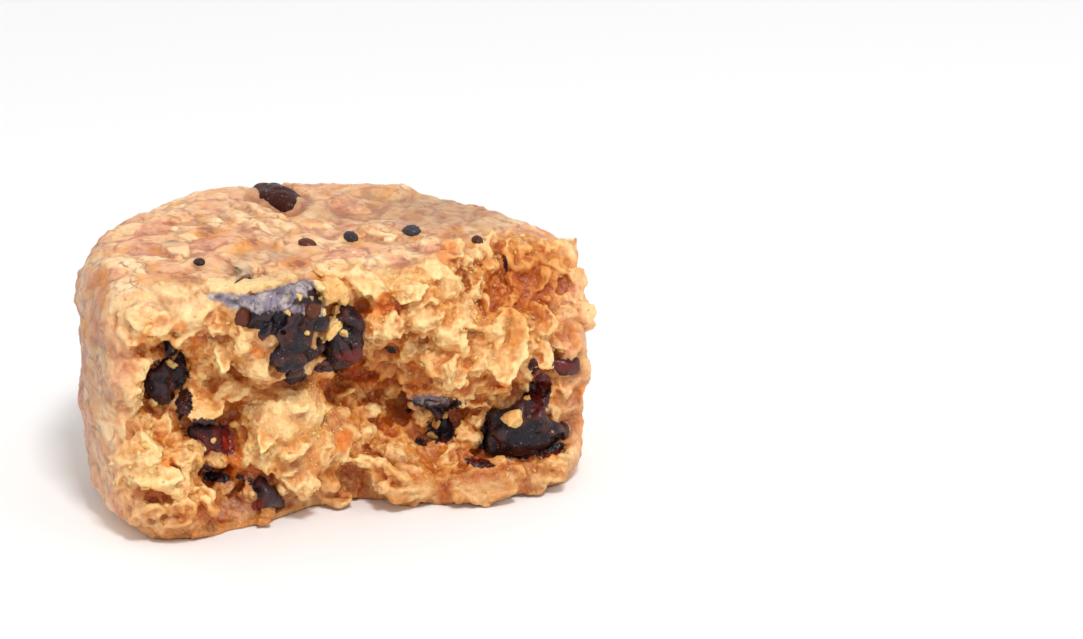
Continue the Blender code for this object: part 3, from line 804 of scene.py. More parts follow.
def shownFlakePlaces(tree, rows):
    places = []
    for number, (column, row, long, wide, roll, pitch, yaw, out, tint) in enumerate(rows):
        point, normal = seenAt(column, row, tree)
        if point is None:
            continue
        middle = point + camBack * out * mm - normal * 0.15 * mm
        matrix = facingCamera(middle, roll, pitch, yaw, (long * mm, wide * mm, 0.36 * mm))
        places.append((number % flake["shapes"], matrix, tint))
    return places


# Torn lumps grown into the broken face: column, row, half size in mm, tint, how far out in mm.
fusedChunks = (
    (192, 375, 1.3, 0.6, 0.2), (150, 402, 1.7, 0.9, 0.3), (163, 412, 1.3, 0.95, 0.4),
    (141, 388, 1.3, 0.8, 0.2), (150, 350, 0.9, 0.6, 0.2), (190, 462, 1.3, 0.7, 0.2),
    (242, 434, 1.2, 0.4, 0.2), (395, 395, 1.0, 0.95, 0.7), (468, 398, 1.2, 0.5, 0.3),
    (474, 418, 1.1, 0.4, 0.3), (462, 436, 1.1, 0.4, 0.2), (466, 446, 0.9, 0.3, 0.0),
    (500, 392, 1.4, 0.8, 0.4), (484, 386, 1.2, 0.7, 0.3), (418, 418, 0.9, 0.4, 0.3),
    (405, 428, 1.1, 0.6, 0.2), (230, 378, 1.1, 0.7, 0.3), (222, 390, 1.2, 0.7, 0.3),
    (356, 278, 1.6, 0.8, 0.2), (410, 282, 1.5, 0.9, 0.2), (428, 270, 1.4, 0.9, 0.2),
    (344, 294, 1.3, 0.8, 0.4), (440, 312, 1.4, 0.7, 0.2), (424, 342, 1.5, 0.8, 0.2),
    (448, 364, 1.5, 0.8, 0.3), (476, 364, 1.3, 0.8, 0.3), (382, 332, 1.1, 0.7, 0.2),
    (366, 344, 1.0, 0.6, 0.2), (205, 476, 1.3, 0.6, 0.3), (232, 500, 1.4, 0.5, 0.2),
    (196, 492, 1.1, 0.8, 0.2), (150, 512, 1.3, 0.6, 0.1), (178, 506, 1.2, 0.6, 0.1),
    (252, 528, 1.0, 0.6, 0.0), (236, 472, 1.1, 0.2, 0.3), (242, 490, 1.2, 0.2, 0.3),
    (226, 468, 0.8, 0.5, 0.2), (238, 514, 1.2, 0.4, 0.2), (274, 472, 0.9, 0.7, 0.2),
    (262, 520, 0.8, 0.6, 0.1), (350, 374, 0.9, 0.1, 0.2), (364, 364, 0.9, 0.2, 0.2),
    (376, 384, 1.0, 0.1, 0.2), (390, 372, 0.8, 0.2, 0.2), (404, 380, 0.9, 0.3, 0.2),
    (362, 392, 0.8, 0.1, 0.2), (344, 384, 0.7, 0.2, 0.2), (386, 356, 0.7, 0.3, 0.2),
    (566, 388, 1.2, 0.4, 0.1), (190, 524, 1.0, 0.5, 0.0), (520, 250, 1.6, 0.5, 0.2),
    (532, 272, 1.8, 0.6, 0.2), (512, 296, 1.7, 0.6, 0.3), (546, 300, 1.5, 0.4, 0.2),
    (494, 270, 1.3, 0.7, 0.2), (470, 282, 1.5, 0.8, 0.2),
)


def shownChunkPlaces(tree, rows, drawSeed):
    draw = random.Random(drawSeed)
    places = []
    for number, (column, row, half, tint, out) in enumerate(rows):
        point, normal = seenAt(column, row, tree)
        if point is None:
            continue
        size = [half * mm * draw.uniform(0.7, 1.15) for _ in range(3)]
        middle = point + camBack * out * mm - normal * half * 0.45 * mm
        places.append((number % crumb["shapes"], placed(middle, anyWay(draw), 0, size), tint))
    return places


def tintByPlaces(points, places, reach, depth):
    # which flake or lump each point lies on: its tint, and how near its rim
    tint = np.full(len(points), 0.5)
    rim = np.zeros(len(points))
    best = np.full(len(points), -9.0)
    for _, matrix, value in places:
        near = np.nonzero(np.abs(points - np.array(matrix.translation)).max(axis=1) < 4 * mm)[0]
        if not len(near):
            continue
        inverse = np.array(matrix.inverted())
        local = points[near] @ inverse[:3, :3].T + inverse[:3, 3]
        away = np.hypot(local[:, 0], local[:, 1])
        on = (away < reach) & (np.abs(local[:, 2]) < depth)
        rank = np.where(on, local[:, 2] - away, -9.0)
        better = on & (rank > best[near])
        chosen = near[better]
        best[chosen] = rank[better]
        tint[chosen] = value
        rim[chosen] = smoothStep(0.80, 1.0, away[better]) * (1 - smoothStep(1.0, reach, away[better]))
    return tint, rim


def openness(points, facing, tree, rays, reach, drawSeed):
    # the share of short rays off the surface that meet nothing
    draw = np.random.default_rng(drawSeed)
    ways = draw.normal(size=(rays, 3))
    ways /= np.linalg.norm(ways, axis=1)[:, None]
    share = np.zeros(len(points))
    for index, (point, normal) in enumerate(zip(points, facing)):
        start = Vector(point + normal * 0.08 * mm)
        free = 0
        for way in ways:
            if way @ normal < 0:
                way = -way
            if tree.ray_cast(start, Vector(way), reach)[0] is None:
                free += 1
        share[index] = free / rays
    return share


def raisedShare(mesh, rounds, most):
    # how far each point stands over its smoothed neighbourhood, from -1 in a groove to 1 on a crest
    points, facing = coordinates(mesh), normals(mesh)
    edges = np.empty(len(mesh.edges) * 2, np.int32)
    mesh.edges.foreach_get("vertices", edges)
    first, second = edges.reshape(-1, 2).T
    ends = np.concatenate((first, second))
    count = np.maximum(np.bincount(ends, minlength=len(points)), 1)
    soft = points.copy()
    for _ in range(rounds):
        for axis in range(3):
            line = soft[:, axis]
            beside = np.concatenate((line[second], line[first]))
            soft[:, axis] = np.bincount(ends, weights=beside, minlength=len(points)) / count
    return np.clip(((points - soft) * facing).sum(axis=1) / most, -1, 1)


def grained(piece):
    # small lumps in the crumb, and a hint of them on the crust
    points, facing = coordinates(piece.data), normals(piece.data)
    share = torn(points)
    calm = 1 - 0.45 * np.clip(markShare(points, "even"), 0, 1)
    height = np.zeros(len(points))
    for number, (size, onCrust, onCrumb) in enumerate(dough["grainSizes"]):
        most = (onCrust + (onCrumb - onCrust) * share) * mm
        height += most * softNoise(points, size, 4.0 * number) * 1.6 * calm
    size, most = dough["pearls"]
    patches = share * patchy(points, 5.0 * mm, -0.25, 0.25, 6.0)
    for index in np.nonzero(patches > 0.05)[0]:
        nearest = noise.voronoi(Vector(points[index]) / size)[0][0]
        height[index] += most * (0.5 - nearest) * patches[index]
    points += facing * (height * (points[:, 2] > 0.5 * mm))[:, None]
    setCoordinates(piece.data, points)


def makeDough():
    piece = copyOfNode("cookieDough", "cookie_dough")
    fillings = []
    for node in fruitNodes:
        filling = copyOfNode("filling", node)
        points, facing = coordinates(filling.data), normals(filling.data)
        setCoordinates(filling.data, points + facing * dough["pocketFill"])
        fillings.append(filling)
    joinInto(piece, fillings)
    evenOut(piece, dough["firstVoxel"], dough["firstSmoothing"])
    points, facing = coordinates(piece.data), normals(piece.data)
    near = pocketDepth(points)
    near *= 1 - markShare(points, "cover")
    setCoordinates(piece.data, points - facing * (near * dough["pocketDip"])[:, None])
    chunked(piece)
    print("dough: blocks", len(piece.data.vertices))
    tree = treeOf([piece])
    onCrust = crustPlaces(tree) + topFlakePlaces(tree)
    inBreak, lumps = breakPlaces(tree)
    inBreak += shownFlakePlaces(tree, fusedFlakes)
    lumps += shownChunkPlaces(tree, fusedChunks, 51)
    flakeShapes = [flakeShape(number, 3) for number in range(flake["shapes"])]
    crumbShapes = [crumbShape(number, 3) for number in range(crumb["shapes"])]
    pressedFlakes = joinedMesh("pressedFlakes", flakeShapes, onCrust + inBreak)
    joinInto(piece, (pressedFlakes, joinedMesh("lumps", crumbShapes, lumps)))
    evenOut(piece, dough["fusedVoxel"])
    print("dough: fused", len(piece.data.vertices))
    grained(piece)
    keepInside(piece)
    points = coordinates(piece.data)
    points[:, 2] = np.where(points[:, 2] < 0.12 * mm, 0, points[:, 2])
    setCoordinates(piece.data, points)
    thinOut(piece, dough["mostTriangles"])

    mesh = piece.data
    points, facing = coordinates(mesh), normals(mesh)
    tint, rim = tintByPlaces(points, onCrust + inBreak, 1.18, 2.6)
    lumpTint, _ = tintByPlaces(points, lumps, 1.25, 1.25)
    onFlake = np.abs(tint - 0.5) > 1e-9
    crust = crustShare(points)
    setAttribute(mesh, "crust", crust)
    setAttribute(mesh, "tint", np.where(onFlake, tint, lumpTint))
    setAttribute(mesh, "onFlake", onFlake)
    setAttribute(mesh, "rim", rim)
    setAttribute(mesh, "stain", 1 - smoothStep(0.2 * mm, 1.3 * mm, fromFruit(points)))
    # raised and hump set the painted highlight on crests and the painted shade in grooves and gaps
    setAttribute(mesh, "raised", raisedShare(mesh, 12, 0.16 * mm))
    setAttribute(mesh, "hump", raisedShare(mesh, 70, 0.5 * mm))
    setAttribute(mesh, "foot", 1 - smoothStep(1.2 * mm, 4.2 * mm, points[:, 2]))
    for name in marks:
        setAttribute(mesh, name, markShare(points, name))
    tree = treeOf([piece])
    # how open each crumb point is; it sets the painted shade in hollows and the tint of the loose bits
    free = np.ones(len(points))
    inner = np.nonzero((crust < 0.95) & (points[:, 2] > 0.1 * mm))[0]
    free[inner] = openness(points[inner], facing[inner], tree, 10, 5 * mm, 5)
    setAttribute(mesh, "openness", free)
    mesh.shade_smooth()
    print("dough: done", len(mesh.polygons), "faces")
    return piece


fruit = {
    "voxel": 0.16 * mm,
    "grown": 0.38 * mm,  # past the gap that the solids leave, into the dough
    "wander": ((3.2 * mm, 0.9 * mm), (1.6 * mm, 0.18 * mm)),  # uneven outline: size, height
    "folds": ((2.3 * mm, 0.50 * mm), (0.9 * mm, 0.08 * mm)),  # wrinkles: size, depth
    "pits": (0.36 * mm, 0.05 * mm),
    "calm": {"fruit_top": 0.7, "fruit_right": 0.55},  # these are smoother
    "topRound": 0.8 * mm,  # and the one on top is rounder than its solid
    "topReach": (4.1 * mm, 2.0 * mm),  # its half length and half width
    "proud": 0.35 * mm,
    "covered": (1.7 * mm, 2.6 * mm),  # how deep it lies where dough covers it, thin and thick fruit
    "hidden": {"fruit_top": 0.0, "fruit_top_edge": 0.4, "fruit_right": 0.15},  # how much dough lies over it
}


def makeFruit(number, node):
    words = node.split("_")
    piece = copyOfNode("dried" + "".join(word.capitalize() for word in words), node)
    evenOut(piece, fruit["voxel"], 3)
    mesh = piece.data
    points, facing = coordinates(mesh), normals(mesh)
    middle, half = fruitRooms[node]
    top = middle[2] + half[2]
    small = min(1, half.min() / (2.4 * mm)) * fruit["calm"].get(node, 1)
    height = np.full(len(points), fruit["grown"] * (0.3 if node == "fruit_top" else 1))
    for size, most in fruit["wander"]:
        height += softNoise(points, size, 3.0 * number) * most * small
    for size, most in fruit["folds"]:
        height += (np.abs(softNoise(points, size, 5.0 * number)) * 2.4 - 0.5) * most * small
    size, most = fruit["pits"]
    height += softNoise(points, size, 7.0) * most
    patches = patchy(points, 2.2 * mm, 0.18, 0.42, 1.5 * number)
    flat = node == "fruit_top_edge"
    skinned = markShare(points, "dust") if flat else 0
    height = height * (1 - 0.8 * skinned) + 0.3 * mm * skinned
    covered = np.clip(1.3 * half.min(), *fruit["covered"])
    height -= covered * np.maximum(markShare(points, "cover"), fruit["hidden"].get(node, 0.8) * patches)
    points = points + facing * height[:, None]
    if flat:
        points[:, 2] = np.minimum(points[:, 2], top + 0.15 * mm)
    if node == "fruit_top":
        away = points[:, :2] - middle[:2]
        long = np.linalg.svd(away, full_matrices=False)[2][0]
        along, aside = away @ long, away @ np.array((-long[1], long[0]))
        out = (along / fruit["topReach"][0]) ** 2 + (aside / fruit["topReach"][1]) ** 2
        crown = fruit["topRound"] * np.clip(1 - out, -0.6, 1)
        points[:, 2] += crown * smoothStep(middle[2], top, points[:, 2])
    points[:, 2] -= max(0, points[:, 2].max() - cadBox[1].z - fruit["proud"])
    setCoordinates(mesh, points)
    keepInside(piece, fruit["proud"])
    setAttribute(mesh, "skin", markShare(points, "dust"))
    # raised sets the painted sheen on the wrinkles
    setAttribute(mesh, "raised", raisedShare(mesh, 10, 0.14 * mm))
    setAttribute(mesh, "wine", markShare(points, "wine"))
    setAttribute(mesh, "warm", np.full(len(points), 1.0 if node in inCrust else 0.0))
    mesh.shade_smooth()
    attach(piece, "root")
    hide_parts(node)
    return piece


# Bits of dough that lie on fruit: column, row, half size in mm, tint, how far out in mm.
looseChunks = (
    (329, 331, 1.05, 0.95, 0.4), (338, 326, 0.95, 0.9, 0.4), (323, 336, 0.6, 0.9, 0.3),
    (344, 331, 0.6, 0.9, 0.4), (284, 333, 0.3, 0.7, 0.2), (307, 333, 0.35, 0.7, 0.2),
    (171, 363, 0.65, 0.95, 0.3), (513, 415, 1.2, 0.95, 1.2), (204, 448, 0.4, 0.9, 0.2),
    (213, 441, 0.3, 0.95, 0.2), (224, 458, 0.4, 0.6, 0.2), (192, 446, 0.4, 0.4, 0.2),
    (200, 462, 0.5, 0.6, 0.2), (436, 424, 0.6, 0.4, 0.2), (428, 414, 0.6, 0.5, 0.2),
    (446, 414, 0.5, 0.5, 0.2), (299, 296, 0.6, 0.9, 0.0), (288, 313, 0.5, 0.9, 0.1),
    (324, 312, 0.5, 0.9, 0.1), (528, 398, 0.4, 0.5, 0.2), (335, 288, 1.3, 0.8, 0.3),
    (343, 298, 1.1, 0.9, 0.3), (328, 298, 0.9, 0.8, 0.3), (336, 308, 0.7, 0.9, 0.3),
)


def makeChunks(tree):
    shapes = [crumbShape(20 + number, 4, crumb["looseRough"]) for number in range(crumb["shapes"])]
    return joinedMesh("looseChunks", shapes, shownChunkPlaces(tree, looseChunks, 52))


bits = {
    "furthestBack": 5 * mm,
    "fadesUpTo": 5 * mm,  # fewer lie below this height
    "inHollows": 0.25,
    "onFlesh": 0.03,
    "litTint": 0.45,
}
crumbBits = {
    "count": 300,
    "subdivisions": 2,
    "spacing": 0.4 * mm,
    "seed": 31,
    "uneven": (0.5, 1.3),
    "raised": (-0.5, 0.1),  # in half sizes
    "tint": (0.25, 0.6),
    "lowest": 0.8 * mm,
    "offFruit": 1.2 * mm,
}
grainBits = {
    "count": 1000,
    "subdivisions": 1,
    "spacing": 0,
    "seed": 41,
    "uneven": (0.7, 1.3),
    "raised": (0.0, 0.5),
    "tint": (0.3, 0.7),
    "lowest": 0.6 * mm,
    "offFruit": 1.0 * mm,
}


def onBreak(points, lowest):
    # where torn bits may lie: few in deep hollows and near the foot
    clear = (behindBreak(points) < bits["furthestBack"]) * (points[:, 2] > lowest)
    amber = np.clip(markShare(points, "amber"), 0, 1)
    return clear * smoothStep(lowest, bits["fadesUpTo"], points[:, 2]) * (1 - (1 - bits["inHollows"]) * amber)


def bare(points):
    # less than 1 where fruit is smeared on the dough, and no bits lie
    return 1 - (1 - bits["onFlesh"]) * np.clip(1.6 * markShare(points, "flesh"), 0, 1)


def litShare(piece, tree, spots):
    # from 0 in a deep hollow to 1 in the open
    mesh = piece.data
    free = np.empty(len(mesh.vertices), np.float32)
    mesh.attributes["openness"].data.foreach_get("value", free)
    share = np.ones(len(spots))
    for index, spot in enumerate(spots):
        face = tree.find_nearest(Vector(spot))[2]
        share[index] = free[mesh.polygons[face].vertices[0]]
    return np.clip(share - 0.5 * markShare(np.asarray(spots), "amber"), 0, 1)


def scattered(name, kind, halfSize, piece, tree, wanted):
    shapes = [crumbShape(number, kind["subdivisions"]) for number in range(crumb["shapes"])]
    spots, facing = spreadPoints(tree, kind["count"], kind["spacing"], wanted, kind["seed"])
    lit = litShare(piece, tree, spots)
    draw = random.Random(kind["seed"] + 1)
    places = []
    for spot, normal, light in zip(spots, facing, lit):
        half = halfSize(draw) * mm
        size = [half * draw.uniform(*kind["uneven"]) for _ in range(3)]
        raised = Vector(spot) + Vector(normal) * half * draw.uniform(*kind["raised"])
        tint = draw.uniform(*kind["tint"]) + bits["litTint"] * light
        places.append((draw.randrange(crumb["shapes"]), placed(raised, anyWay(draw), 0, size), tint))
    return joinedMesh(name, shapes, places)


def makeCrumbs(piece, tree):
    def wanted(middles, facing):
        loose = (torn(middles) > 0.6) * onBreak(middles, crumbBits["lowest"])
        inPatches = 0.1 + patchy(middles, 2.6 * mm, -0.15, 0.35, 2.0)
        offFlesh = (0.1 + 0.9 * (fromFruit(middles) > crumbBits["offFruit"])) * bare(middles)
        rough = 1 - 0.7 * np.clip(markShare(middles, "even"), 0, 1)
        rough = rough * (1 - 0.9 * np.clip(markShare(middles, "baked"), 0, 1))
        return loose * inPatches * offFlesh * rough

    def halfSize(draw):
        return min(0.6, draw.lognormvariate(-1.3, 0.40))

    return scattered("tornCrumbs", crumbBits, halfSize, piece, tree, wanted)


def makeGrains(piece, tree):
    def wanted(middles, facing):
        loose = (torn(middles) > 0.5) * onBreak(middles, grainBits["lowest"])
        inPatches = 0.15 + patchy(middles, 3.4 * mm, -0.1, 0.3, 8.0)
        onCrumb = 1 - 0.9 * np.clip(markShare(middles, "baked"), 0, 1)
        offFlesh = 0.1 + 0.9 * (fromFruit(middles) > grainBits["offFruit"])
        return loose * inPatches * onCrumb * offFlesh * bare(middles)

    def halfSize(draw):
        return draw.uniform(0.05, 0.11)

    return scattered("fineGrains", grainBits, halfSize, piece, tree, wanted)


# Seeds: column, row, half size in mm, tint from brown to blue-grey.
seenSeeds = (
    (308, 244, 1.0, 0.1), (351, 237, 0.9, 0.6), (411, 231, 1.0, 0.8), (477, 240, 0.7, 0.2),
    (199, 262, 0.7, 0.4), (244, 319, 1.15, 0.0), (313, 311, 0.95, 0.15),
)
seed = {
    "shapes": 5,
    "proud": 0.3,  # mm above the CAD model's box
    "sunk": 0.12,
    "flat": 0.75,
    "pitted": 0.12,
    "oval": (1.0, 0.8, 0.85),
    "hidden": 7,  # on the sides that aren't seen
    "hiddenBehind": 17 * mm,
    "hiddenHeights": (4 * mm, 23 * mm),
    "hiddenSpacing": 7 * mm,
    "hiddenHalf": (0.7, 1.1),
    "hiddenSunk": 0.65,
}


def seedShape(number):
    # a round seed, wrinkled and pitted
    bm = bmesh.new()
    bmesh.ops.create_icosphere(bm, subdivisions=4, radius=1)
    for vert in bm.verts:
        fold = abs(noise.noise(vert.co * 2.2 + Vector((number * 4.1, 0, 0))))
        pit = noise.noise(vert.co * 5.0 + Vector((0, number * 2.9, 0)))
        vert.co *= 1.0 + seed["pitted"] * (fold * 0.8 - 0.2 + 0.9 * pit)
    bmesh.ops.scale(bm, verts=bm.verts, vec=seed["oval"])
    return asArrays(bm)


def makeSeeds(tree, doughTree):
    draw = random.Random(62)
    places = []
    for number, (column, row, half, tint) in enumerate(seenSeeds):
        point, normal = seenAt(column, row, tree)
        if point is None:
            continue
        middle = point - normal * half * seed["sunk"] * mm
        middle.z -= max(0, middle.z + (seed["flat"] * half - seed["proud"]) * mm - cadBox[1].z)
        lean = Vector(normal) + anyWay(draw) * 0.2
        matrix = placed(middle, lean, draw.uniform(0, 3), (half * mm, half * mm, seed["flat"] * half * mm))
        places.append((number % seed["shapes"], matrix, tint))

    def wanted(middles, facing):
        away = (behindBreak(middles) > seed["hiddenBehind"]) * (fromFruit(middles) > 2 * mm)
        low, high = seed["hiddenHeights"]
        return away * (middles[:, 2] > low) * (middles[:, 2] < high)

    spots, facing = spreadPoints(doughTree, seed["hidden"], seed["hiddenSpacing"], wanted, 61)
    for spot, normal in zip(spots, facing):
        half = draw.uniform(*seed["hiddenHalf"]) * mm
        middle = Vector(spot) - Vector(normal) * half * seed["hiddenSunk"]
        shape = draw.randrange(seed["shapes"])
        places.append((shape, placed(middle, anyWay(draw), 0, [half] * 3), draw.random()))
    return joinedMesh("roundSeeds", [seedShape(number) for number in range(seed["shapes"])], places)


def newGroup(name, inputs, outputs):
    group = bpy.data.node_groups.new(name, "ShaderNodeTree")
    for socket, kind, value in inputs:
        made = group.interface.new_socket(name=socket, in_out="INPUT", socket_type=kind)
        if value is not None:
            made.default_value = value
    for socket, kind in outputs:
        group.interface.new_socket(name=socket, in_out="OUTPUT", socket_type=kind)
    return group, group.nodes.new("NodeGroupInput"), group.nodes.new("NodeGroupOutput")


def socketFrom(nodes, links, value, target):
    if isinstance(value, bpy.types.NodeSocket):
        links.new(value, target)
    elif isinstance(value, tuple):
        target.default_value = (*value, 1)
    else:
        target.default_value = value


def mathNode(nodes, links, operation, *values, clamp=False):
    node = nodes.new("ShaderNodeMath")
    node.operation = operation
    node.use_clamp = clamp
    for index, value in enumerate(values):
        socketFrom(nodes, links, value, node.inputs[index])
    return node.outputs[0]


def mixColour(nodes, links, factor, first, second, how="MIX"):
    mix = nodes.new("ShaderNodeMix")
    mix.data_type = "RGBA"
    mix.blend_type = how
    for index, value in ((0, factor), (6, first), (7, second)):
        socketFrom(nodes, links, value, mix.inputs[index])
    return mix.outputs[2]


def softRange(nodes, links, value, low, high):
    # 0 below the low end, 1 above the high one, soft between
    step = nodes.new("ShaderNodeMapRange")
    step.interpolation_type = "SMOOTHSTEP"
    socketFrom(nodes, links, value, step.inputs["Value"])
    step.inputs["From Min"].default_value = low
    step.inputs["From Max"].default_value = high
    return step.outputs["Result"]


def noiseNode(nodes, links, size, detail=3.0, roughness=0.6, shift=0.0, depth=1.0):
    # noise in the object's own coordinates; size is in metres, depth under 1 draws it out along Y
    place = nodes.new("ShaderNodeTexCoord")
    moved = nodes.new("ShaderNodeMapping")
    moved.inputs["Location"].default_value = (shift, shift * 0.6, shift * 0.3)
    moved.inputs["Scale"].default_value = (1, depth, 1)
    made = nodes.new("ShaderNodeTexNoise")
    made.inputs["Scale"].default_value = 1 / size
    made.inputs["Detail"].default_value = detail
    made.inputs["Roughness"].default_value = roughness
    links.new(place.outputs["Object"], moved.inputs["Vector"])
    links.new(moved.outputs["Vector"], made.inputs["Vector"])
    return made.outputs["Fac"]


def tied(nodes, links):
    # the four helpers above, for one node tree
    return [partial(helper, nodes, links) for helper in (mathNode, mixColour, softRange, noiseNode)]


def fineGrainGroup():
    # mottling and a height for small bumps
    group, given, made = newGroup(
        "fineGrain",
        (("Scale", "NodeSocketFloat", 1000.0), ("Detail", "NodeSocketFloat", 4.0)),
        (("Mottle", "NodeSocketFloat"), ("Height", "NodeSocketFloat")),
    )
    nodes, links = group.nodes, group.links
    place = nodes.new("ShaderNodeTexCoord")
    soft = nodes.new("ShaderNodeTexNoise")
    soft.inputs["Roughness"].default_value = 0.62
    cells = nodes.new("ShaderNodeTexVoronoi")
    links.new(place.outputs["Object"], soft.inputs["Vector"])
    links.new(place.outputs["Object"], cells.inputs["Vector"])
    links.new(given.outputs["Scale"], soft.inputs["Scale"])
    links.new(given.outputs["Scale"], cells.inputs["Scale"])
    links.new(given.outputs["Detail"], soft.inputs["Detail"])
    links.new(soft.outputs["Fac"], made.inputs["Mottle"])
    height = mathNode(nodes, links, "MULTIPLY_ADD", cells.outputs["Distance"], -0.5, soft.outputs["Fac"])
    links.new(height, made.inputs["Height"])
    return group


def mosaicGroup():
    # flakes pressed together: a value for each, and thin broken lines between them
    group, given, made = newGroup(
        "oatMosaic",
        (
            ("Size", "NodeSocketFloat", 500.0), ("Wobble", "NodeSocketFloat", 2.6 * mm),
            ("Depth", "NodeSocketFloat", 1.0),
        ),
        (("Tint", "NodeSocketFloat"), ("Line", "NodeSocketFloat"), ("Height", "NodeSocketFloat")),
    )
    nodes, links = group.nodes, group.links
    place = nodes.new("ShaderNodeTexCoord")
    wobble = nodes.new("ShaderNodeTexNoise")
    wobble.inputs["Scale"].default_value = 1 / (1.9 * mm)
    wobble.inputs["Detail"].default_value = 3
    centred = nodes.new("ShaderNodeVectorMath")
    centred.operation = "SUBTRACT"
    centred.inputs[1].default_value = (0.5, 0.5, 0.5)
    scaled = nodes.new("ShaderNodeVectorMath")
    scaled.operation = "SCALE"
    links.new(given.outputs["Wobble"], scaled.inputs["Scale"])
    moved = nodes.new("ShaderNodeVectorMath")
    links.new(place.outputs["Object"], wobble.inputs["Vector"])
    links.new(wobble.outputs["Color"], centred.inputs[0])
    links.new(centred.outputs["Vector"], scaled.inputs[0])
    drawnOut = nodes.new("ShaderNodeVectorMath")
    drawnOut.operation = "MULTIPLY"
    turned = nodes.new("ShaderNodeCombineXYZ")
    turned.inputs["X"].default_value = 1
    turned.inputs["Z"].default_value = 1
    links.new(given.outputs["Depth"], turned.inputs["Y"])
    links.new(place.outputs["Object"], drawnOut.inputs[0])
    links.new(turned.outputs["Vector"], drawnOut.inputs[1])
    links.new(drawnOut.outputs["Vector"], moved.inputs[0])
    links.new(scaled.outputs["Vector"], moved.inputs[1])
    cells = nodes.new("ShaderNodeTexVoronoi")
    edges = nodes.new("ShaderNodeTexVoronoi")
    edges.feature = "DISTANCE_TO_EDGE"
    split = nodes.new("ShaderNodeSeparateColor")
    for texture in (cells, edges):
        links.new(moved.outputs["Vector"], texture.inputs["Vector"])
        links.new(given.outputs["Size"], texture.inputs["Scale"])
    links.new(cells.outputs["Color"], split.inputs["Color"])
    links.new(split.outputs["Red"], made.inputs["Tint"])
    links.new(mathNode(nodes, links, "SUBTRACT", 1.0, cells.outputs["Distance"]), made.inputs["Height"])
    near = softRange(nodes, links, edges.outputs["Distance"], 0.08, 0.0)
    broken = softRange(nodes, links, noiseNode(nodes, links, 2.2 * mm, 2.0, shift=5.3), 0.5, 0.68)
    links.new(mathNode(nodes, links, "MULTIPLY", near, broken), made.inputs["Line"])
    return group


def fleshGroup():
    # dark fruit flesh: black with dark red where it is thin
    group, given, made = newGroup(
        "fruitFlesh",
        tuple((name, "NodeSocketFloat", 0.0) for name in ("Wine", "Raised", "Warm")),
        (("Color", "NodeSocketColor"),),
    )
    nodes, links = group.nodes, group.links
    calc, mix, between, noisy = tied(nodes, links)
    mottle = noisy(1.1 * mm, 3.0)
    red = calc("MULTIPLY_ADD", given.outputs["Wine"], 0.6, mottle)
    red = between(red, 0.62, 0.92)
    patch = between(noisy(1.7 * mm, 3.0, shift=2.2), 0.48, 0.64)
    patch = calc("MAXIMUM", patch, calc("MULTIPLY", given.outputs["Warm"], 0.8))
    colour = mix(patch, fruitLook["black"], fruitLook["brown"])
    colour = mix(red, colour, fruitLook["wine"])
    clear = calc("MULTIPLY_ADD", given.outputs["Wine"], 0.5, mottle)
    colour = mix(between(clear, 0.92, 1.2), colour, fruitLook["red"])
    # painted sheen: a purple tone on the raised wrinkles, weaker on the fruit baked into the crust
    crest = between(given.outputs["Raised"], 0.3, 1.0)
    cool = calc("MULTIPLY_ADD", given.outputs["Warm"], -0.24, 0.28)
    crest = calc("MULTIPLY", crest, cool)
    colour = mix(crest, colour, fruitLook["plum"])
    glints = between(noisy(0.30 * mm, 1.5, shift=5.7), 0.66, 0.76)
    colour = mix(calc("MULTIPLY", glints, 0.5), colour, fruitLook["glint"])
    links.new(colour, made.inputs["Color"])
    return group


def colourRamp(nodes, stops):
    ramp = nodes.new("ShaderNodeValToRGB")
    while len(ramp.color_ramp.elements) < len(stops):
        ramp.color_ramp.elements.new(0.5)
    for element, (place, colour) in zip(ramp.color_ramp.elements, stops):
        element.position = place
        element.color = (*colour, 1)
    return ramp


def screen(red, green, blue):
    # a colour as a screen shows it, 0 to 255, made linear for a shader
    return tuple(((value / 255 + 0.055) / 1.055) ** 2.4 for value in (red, green, blue))


def attribute(nodes, name):
    node = nodes.new("ShaderNodeAttribute")
    node.attribute_name = name
    return node.outputs["Fac"]


def newMaterial(name):
    material = bpy.data.materials.new(name)
    material.use_nodes = True
    nodes = material.node_tree.nodes
    return material, nodes, material.node_tree.links, nodes["Principled BSDF"]


def placeGroup(nodes, links, group, **values):
    node = nodes.new("ShaderNodeGroup")
    node.node_tree = group
    for name, value in values.items():
        socketFrom(nodes, links, value, node.inputs[name])
    return node


def bumped(nodes, links, shader, height, strength, distance):
    bump = nodes.new("ShaderNodeBump")
    bump.inputs["Strength"].default_value = strength
    bump.inputs["Distance"].default_value = distance
    links.new(height, bump.inputs["Height"])
    links.new(bump.outputs["Normal"], shader.inputs["Normal"])


fruitLook = {
    "black": screen(24, 20, 27),
    "wine": screen(98, 24, 18),
    "red": screen(150, 40, 20),
    "brown": screen(70, 30, 20),
    "glint": screen(168, 156, 162),
    "plum": screen(96, 60, 66),
    "dust": screen(140, 126, 138),
    "dustPale": screen(200, 186, 174),
}

